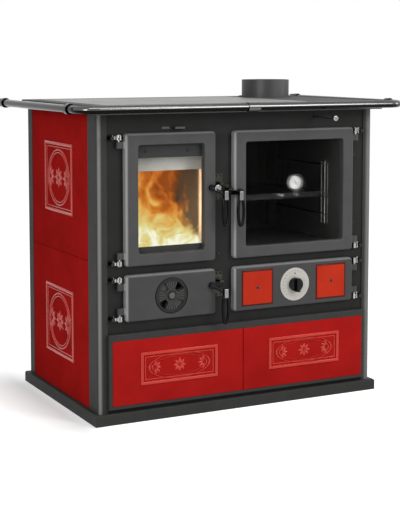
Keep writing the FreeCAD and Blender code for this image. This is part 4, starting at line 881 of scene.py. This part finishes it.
def pressed_tile(name, low, high, facing, frame_size, oval, leaf_size, lift):
    rise = 2.5 * MM
    face_at = (low + high) / 2
    if facing == "front":
        width, depth = high.x - low.x, high.y - low.y - rise
        face_at.y = low.y + rise
    else:
        width, depth = high.y - low.y, high.x - low.x - rise
        face_at.x = low.x + rise if facing == "left" else high.x - rise
    tile = soft_slab(name, width, high.z - low.z, depth, 1.6 * MM)
    paint(tile, "red_tile")
    relief = tile_relief(frame_size, oval, rise, leaf_size)
    take(tile)
    for part in relief:
        part.location.y += lift
        paint(part, "red_relief")
        part.select_set(True)
    bpy.ops.object.join()
    stand_at(tile, facing, face_at)
    smooth(tile, 40)
    print(name, len(tile.data.polygons), "faces")
    return tile


for node, facing in (("tile_left_lower", "left"), ("tile_left_upper", "left"),
                     ("tile_right_lower", "right"), ("tile_right_upper", "right")):
    low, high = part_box(node)
    tile = pressed_tile("glazed_" + node, low, high, facing, (216 * MM, 201 * MM), (164 * MM, 158 * MM),
                        27 * MM, 10 * MM if "upper" in node else 0)
    dress(tile, None, "cooker")
    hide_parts(node)

# %% Drawer tiles, with a joint between them
low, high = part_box("drawer_panels")
half_joint = 1 * MM
for side in ("left", "right"):
    part_low, part_high = low.copy(), high.copy()
    if side == "left":
        part_high.x = -half_joint
    else:
        part_low.x = half_joint
    tile = pressed_tile("glazed_drawer_" + side, part_low, part_high, "front", (236 * MM, 91 * MM),
                        (184 * MM, 70 * MM), 18 * MM, 7 * MM)
    dress(tile, None, "drawer")
    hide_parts("drawer_panels")

# %% Small tiles of the control door: a slightly sunk face inside a crowned edge that is painted dark as painted shade
tile_low, tile_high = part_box("control_tiles")
tile_width = tile_high.z - tile_low.z
tile_middle = (tile_low.z + tile_high.z) / 2
tile_places = {"left": tile_low.x + tile_width / 2, "right": tile_high.x - tile_width / 2}
for side, middle_x in tile_places.items():
    tile = soft_slab("small_tile_" + side, tile_width, tile_width, tile_high.y - tile_low.y, 2.6 * MM)
    pick_faces(tile, faces_up)
    bpy.ops.mesh.inset(thickness=1.8 * MM)
    bpy.ops.transform.translate(value=(0, 0, -0.3 * MM))
    bpy.ops.object.mode_set(mode="OBJECT")
    for name in ("red_small_tile", "red_small_edge_shade"):
        tile.data.materials.append(materials[name])
    for face in tile.data.polygons:
        face.material_index = 0 if faces_up(face.center, face.normal) and face.area > 1e-4 else 1
    stand_at(tile, "front", (middle_x, tile_low.y, tile_middle))
    smooth(tile, 40)
    dress(tile, None, "control_door")
    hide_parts("control_tiles")
    print(tile.name, "at x", round(middle_x, 4))

# %% [markdown]
# ## Screws
#
# The small tiles, the glass strips, the front frame and the hinges are held by visible screws. One pan-head
# screw is modelled, with a rounded rim and a sunk socket, and copied to every place. On the hinges a dark
# bolt sits in the middle of each round foot, and under the screw of each small tile lies a red washer.

# %% One screw and its copies
def screw_form(name, radius, rise):
    # The head goes on behind its seat, so that the screw is rooted in what it holds
    root = 1 * MM
    screw = sized_can(name, 24, radius, rise + root, (rise - root) / 2)
    pick_edges(screw, lambda middle, way: middle.z > rise - 0.1 * MM)
    round_picked(min(rise, radius) * 0.45, 3)
    pick_faces(screw, faces_up)
    bpy.ops.mesh.inset(thickness=radius * 0.18)
    bpy.ops.mesh.extrude_region_move(TRANSFORM_OT_translate={"value": (0, 0, -rise * 0.5)})
    bpy.ops.object.mode_set(mode="OBJECT")
    return screw


def screws(prefix, places, radius, rise, material, body):
    pattern = screw_form(prefix, radius, rise)
    for index, place in enumerate(places):
        screw = own_copy(pattern, f"{prefix}_{index + 1}")
        stand_at(screw, "front", place)
        smooth(screw)
        dress(screw, material, body)
    bpy.data.objects.remove(pattern)
    print(prefix, len(places))


screws("tile_screw", [(x, tile_low.y + 0.4 * MM, tile_middle) for x in tile_places.values()],
       4.6 * MM, 2.2 * MM, "black_paint", "control_door")
screws("tile_washer", [(x, tile_low.y + 0.7 * MM, tile_middle - 0.8 * MM) for x in tile_places.values()],
       5.8 * MM, 1.0 * MM, "red_relief", "control_door")
strip_low, strip_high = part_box("fire_glass_strips")
screws("strip_screw", [(x, strip_low.y, strip_high.z - 17 * MM) for x in (-291 * MM, -166 * MM)],
       5.2 * MM, 2.4 * MM, "black_paint", "fire_door")
frame_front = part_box("front_frame")[0].y
# Two screws are right of the oven door, and one is between the left and the right doors
screws("frame_screw", [(x * MM, frame_front, z * MM) for x, z in ((376, 703), (376, 504), (-71.5, 442))],
       4.2 * MM, 2.0 * MM, "black_paint", "cooker")

# %% Bolts in the hinge feet
low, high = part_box("hinge_brackets")
foot = 9.5 * MM
points = [v.co for v in nodes["hinge_brackets"].data.vertices]
for side, edge, way in (("left", low.x, 1), ("right", high.x, -1)):
    # A foot's outermost points share nearly one height, and the next foot is more than a foot's radius higher
    middles = []
    for z in sorted({round(p.z, 4) for p in points if abs(p.x - edge) < 0.2 * MM}):
        if not middles or z - middles[-1] > foot:
            middles.append(z)
    x = edge + way * foot
    print(side, "feet at", round(x, 4), [round(z, 4) for z in middles])
    screws("foot_bolt_" + side, [(x, low.y + 0.2 * MM, z) for z in middles], 5.0 * MM, 2.4 * MM,
           "black_paint", "cooker")

# %% [markdown]
# ## Latch collar and dial dot
#
# A bright collar rings the tongue of the fire latch where it leaves the door. It starts as a cylinder whose
# front is inset and sunk, and its rims are rounded so that they catch the light. A small dot marks the top of
# the thermostat's dial.

# %% Collar on the fire latch
radius, length = 9.5 * MM, 4 * MM
collar = sized_can("fire_latch_collar", 32, radius, length)
pick_faces(collar, faces_up)
bpy.ops.mesh.inset(thickness=radius * 0.30)
bpy.ops.mesh.extrude_region_move(TRANSFORM_OT_translate={"value": (0, 0, -length * 0.6)})
pick_edges(collar, lambda middle, way: middle.z > length / 2 - 0.1 * MM)
round_picked(radius * 0.11, 3)
stand_at(collar, "front", (-89 * MM, -302 * MM, 629 * MM))
smooth(collar)
dress(collar, "chrome", "fire_handle")
print("latch collar")

# %% Mark at the top of the thermostat's dial
dot = sized_can("dial_dot", 24, 2.3 * MM, 0.4 * MM)
pick_edges(dot, lambda middle, way: middle.z > 0.1 * MM)
round_picked(0.15 * MM, 2)
stand_at(dot, "front", (dial_centre.x, dial_low.y, dial_centre.z + 31.6 * MM))
smooth(dot)
dress(dot, "black_paint", "control_door")
print("dial dot")

# %% [markdown]
# ## Thermometer face and tray clips
#
# The oven thermometer is a small chrome cup with a white printed face and a needle. The face is a thin disc
# that lies on the cup's bottom, behind the needle. Two bright clips sit on the front of the oven tray.

# %% Gauge face
face = sized_can("gauge_face", 64, 19.6 * MM, 0.3 * MM)
pick_faces(face, faces_up)
bpy.ops.mesh.inset(thickness=1.2 * MM)
bpy.ops.transform.translate(value=(0, 0, -0.1 * MM))
cup_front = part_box("thermometer_case")[0].y
stand_at(face, "front", (gauge_centre.x, cup_front + 7.8 * MM, gauge_centre.z))
dress(face, "gauge_face", "cooker")
print("gauge face at", [round(c, 4) for c in gauge_centre])

# %% Clips on the tray
tray_low, tray_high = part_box("oven_tray")
clip = sized_box("tray_clip", 13 * MM, 9 * MM, 5 * MM, 1.5 * MM)
pick_all()
round_picked(1.8 * MM, 3)
for index, (x, width) in enumerate(((186 * MM, 1.0), (240 * MM, 0.55))):
    copy = own_copy(clip, f"tray_clip_{index + 1}")
    copy.scale = (width, 1, 1)
    stand_at(copy, "front", (x, tray_low.y, tray_high.z - 5.5 * MM))
    smooth(copy)
    dress(copy, "chrome", "cooker")
bpy.data.objects.remove(clip)
print("tray clips")

# %% [markdown]
# ## Fire
#
# The fire is not part of the range, so like the floor it is joined to none of the range's bodies. Flames have
# no surface, and what we see is glowing gas, brighter and whiter where it is thick. Three upright sheets, one
# behind another, carry a pattern of warped noise that is stretched upwards. A border that leans in half way up
# decides where a sheet glows, and beyond it the sheet is clear, so the dark lining shows behind.

# %% Shape and heat of the flames
# Up and aside run from 0 to 1 over the window that the flames fill, and swell is the noise round zero
FLAME_FOOT, FLAME_HEIGHT, FLAME_LEFT, FLAME_WIDTH = 0.445, 0.23, -0.345, 0.24


def vector_maths(operation, first, second):
    node = first.id_data.nodes.new("ShaderNodeVectorMath")
    node.operation = operation
    feed(node.inputs[0], first)
    feed(node.inputs["Scale" if operation == "SCALE" else 1], second)
    return node.outputs[0]


def flame_place(tree, seed):
    # The seed makes each sheet differ, slow noise makes it sway, and the last step stretches it upwards
    moved = mapped(own_place(tree), "Location", (seed, seed * 0.7, seed * 0.3))
    sway = vector_maths("SUBTRACT", noise(moved, 9.0, 2.0, 0.5, "Color"), (0.5, 0.5, 0.5))
    warped = vector_maths("ADD", moved, vector_maths("SCALE", sway, 0.16))
    return mapped(warped, "Scale", (1.0, 1.0, 0.42))


def flame_cover(aside, up, swell):
    # The flames fill the left, and their right border leans in half way up
    border = plus(plus(times(up, -1.20), 1.27), times(times(up, up), 0.82))
    room_left = plus(minus(border, aside), times(swell, 0.85))
    return spread(room_left, 0.0, 0.16)


def flame_heat(aside, up, swell, ridge):
    # Hottest low down and at the left, with bright licks and thin bright threads
    belly = times(up, minus(1.0, up))
    heat = minus(1.03, times(up, 0.35))
    heat = minus(heat, times(spread(up, 0.22, 0.66), 0.52))
    heat = minus(heat, times(times(aside, belly), 0.9))
    heat = plus(heat, times(swell, 1.5))
    return plus(heat, times(ridge, 0.16))


print("flame shapes ready")

# %% Flame material
FLAME_STOPS = ((0.10, (0.26, 0.06, 0.010)), (0.29, (0.50, 0.13, 0.016)), (0.44, (0.62, 0.23, 0.035)),
               (0.58, (0.68, 0.40, 0.09)), (0.74, (0.68, 0.54, 0.19)), (0.88, (0.74, 0.67, 0.29)),
               (1.0, (0.88, 0.87, 0.70)))


def flame_colours(heat):
    ramp = heat.id_data.nodes.new("ShaderNodeValToRGB")
    feed(ramp.inputs["Fac"], heat)
    stops = ramp.color_ramp.elements
    stops.remove(stops[1])
    stops[0].position = FLAME_STOPS[0][0]
    stops[0].color = (*FLAME_STOPS[0][1], 1)
    for position, colour in FLAME_STOPS[1:]:
        stops.new(position).color = (*colour, 1)
    return ramp.outputs["Color"]


def flame_material(name, seed, strength):
    material = bpy.data.materials.new(name)
    tree = empty_tree(material)
    x, y, z = own_axes(tree)
    up = divide(minus(z, FLAME_FOOT), FLAME_HEIGHT)
    aside = divide(minus(x, FLAME_LEFT), FLAME_WIDTH)
    swaying = flame_place(tree, seed)
    swell = minus(noise(swaying, 20.0, 4.0, 0.6), 0.5)
    thread = maths("ABSOLUTE", minus(noise(swaying, 34.0, 1.0, 0.4), 0.5))
    ridge = minus(1.0, times(thread, 14.0), clamp=True)
    glow = tree.nodes.new("ShaderNodeEmission")
    feed(glow.inputs["Color"], flame_colours(flame_heat(aside, up, swell, ridge)))
    feed(glow.inputs["Strength"], strength)
    clear = tree.nodes.new("ShaderNodeBsdfTransparent")
    send_out(mix_shaders(flame_cover(aside, up, swell), clear.outputs[0], glow.outputs[0]))
    return material


def flame_sheet(name, y, top, material):
    sheet_width, sheet_middle, foot = 244 * MM, -224 * MM, 440 * MM
    clear_selection()
    bpy.ops.mesh.primitive_grid_add(x_subdivisions=16, y_subdivisions=16, size=1)
    sheet = bpy.context.object
    sheet.name = name
    sheet.scale = (sheet_width, top - foot, 1)
    stand_at(sheet, "front", (sheet_middle, y, (foot + top) / 2))
    sheet.data.materials.append(material)


for index, (y, top) in enumerate(((-215, 676), (-120, 676), (-40, 690))):
    flame_sheet(f"flame_{index + 1}", y * MM, top * MM,
                flame_material(f"flame_glow_{index + 1}", index * 1.7 + 0.4, 1.1 - 0.15 * index))
print("three flame sheets")

# %% Glow of the fire on the lining
glows = [soft_panel("fire_glow", (-0.235, -0.10, 0.46), (-0.15, 0.02, 0.62), 0.18, 0.2, 1.6,
                    (1.0, 0.66, 0.38)),
         soft_panel("ember_glow", (-0.150, -0.207, 0.575), (-0.10, -0.211, 0.575), 0.016, 0.2, 0.05,
                    (1.0, 0.70, 0.46))]
for glow in glows:
    # The lamps light the lining, but are not seen themselves through the door's glass or in the metal
    glow.visible_transmission = False
    glow.visible_glossy = False
print("fire laid")

# %% [markdown]
# ## Floor
#
# The floor is a large white sheet. It stays white where the light reaches it, and it keeps the soft shadow
# beside the base, away from the key panel. Part of its white comes straight to the camera, so that the lamps
# need not be brighter than the range wants, and that part is dimmed close to the base's left side as a
# painted shadow.

# %% Floor
clear_selection()
bpy.ops.mesh.primitive_grid_add(x_subdivisions=8, y_subdivisions=8, size=30, location=(0, 0, -1 * MM))
floor = new_form("studio_floor")
material = bpy.data.materials.new("floor_white")
tree = empty_tree(material)
matt = tree.nodes.new("ShaderNodeBsdfDiffuse")
matt.inputs["Color"].default_value = (0.62, 0.62, 0.62, 1)

# The painted shadow lies along the base's left side and is gone at its reach from that side
painted_shadow_reach, half_depth = 0.24, 0.24
x, y, z = own_axes(tree)
aside = minus(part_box("base_plate")[0].x, x)
beyond = maths("MAXIMUM", minus(maths("ABSOLUTE", y), half_depth), 0.0)
painted_shadow = minus(1.0, divide(distance(aside, beyond), painted_shadow_reach), clamp=True)
painted_shadow = times(painted_shadow, spread(aside, -60 * MM, 30 * MM))
white_after_painted_shadow = minus(0.70, times(painted_shadow, 0.55))
glow = tree.nodes.new("ShaderNodeEmission")
feed(glow.inputs["Strength"], times(seen_directly(tree), white_after_painted_shadow))
both = tree.nodes.new("ShaderNodeAddShader")
feed(both.inputs[0], matt.outputs[0])
feed(both.inputs[1], glow.outputs[0])
send_out(both.outputs[0])
floor.data.materials.append(material)
print("floor laid")

# %% [markdown]
# ## Finish
#
# The last cell clears the selection.

# %% Finish
clear_selection()
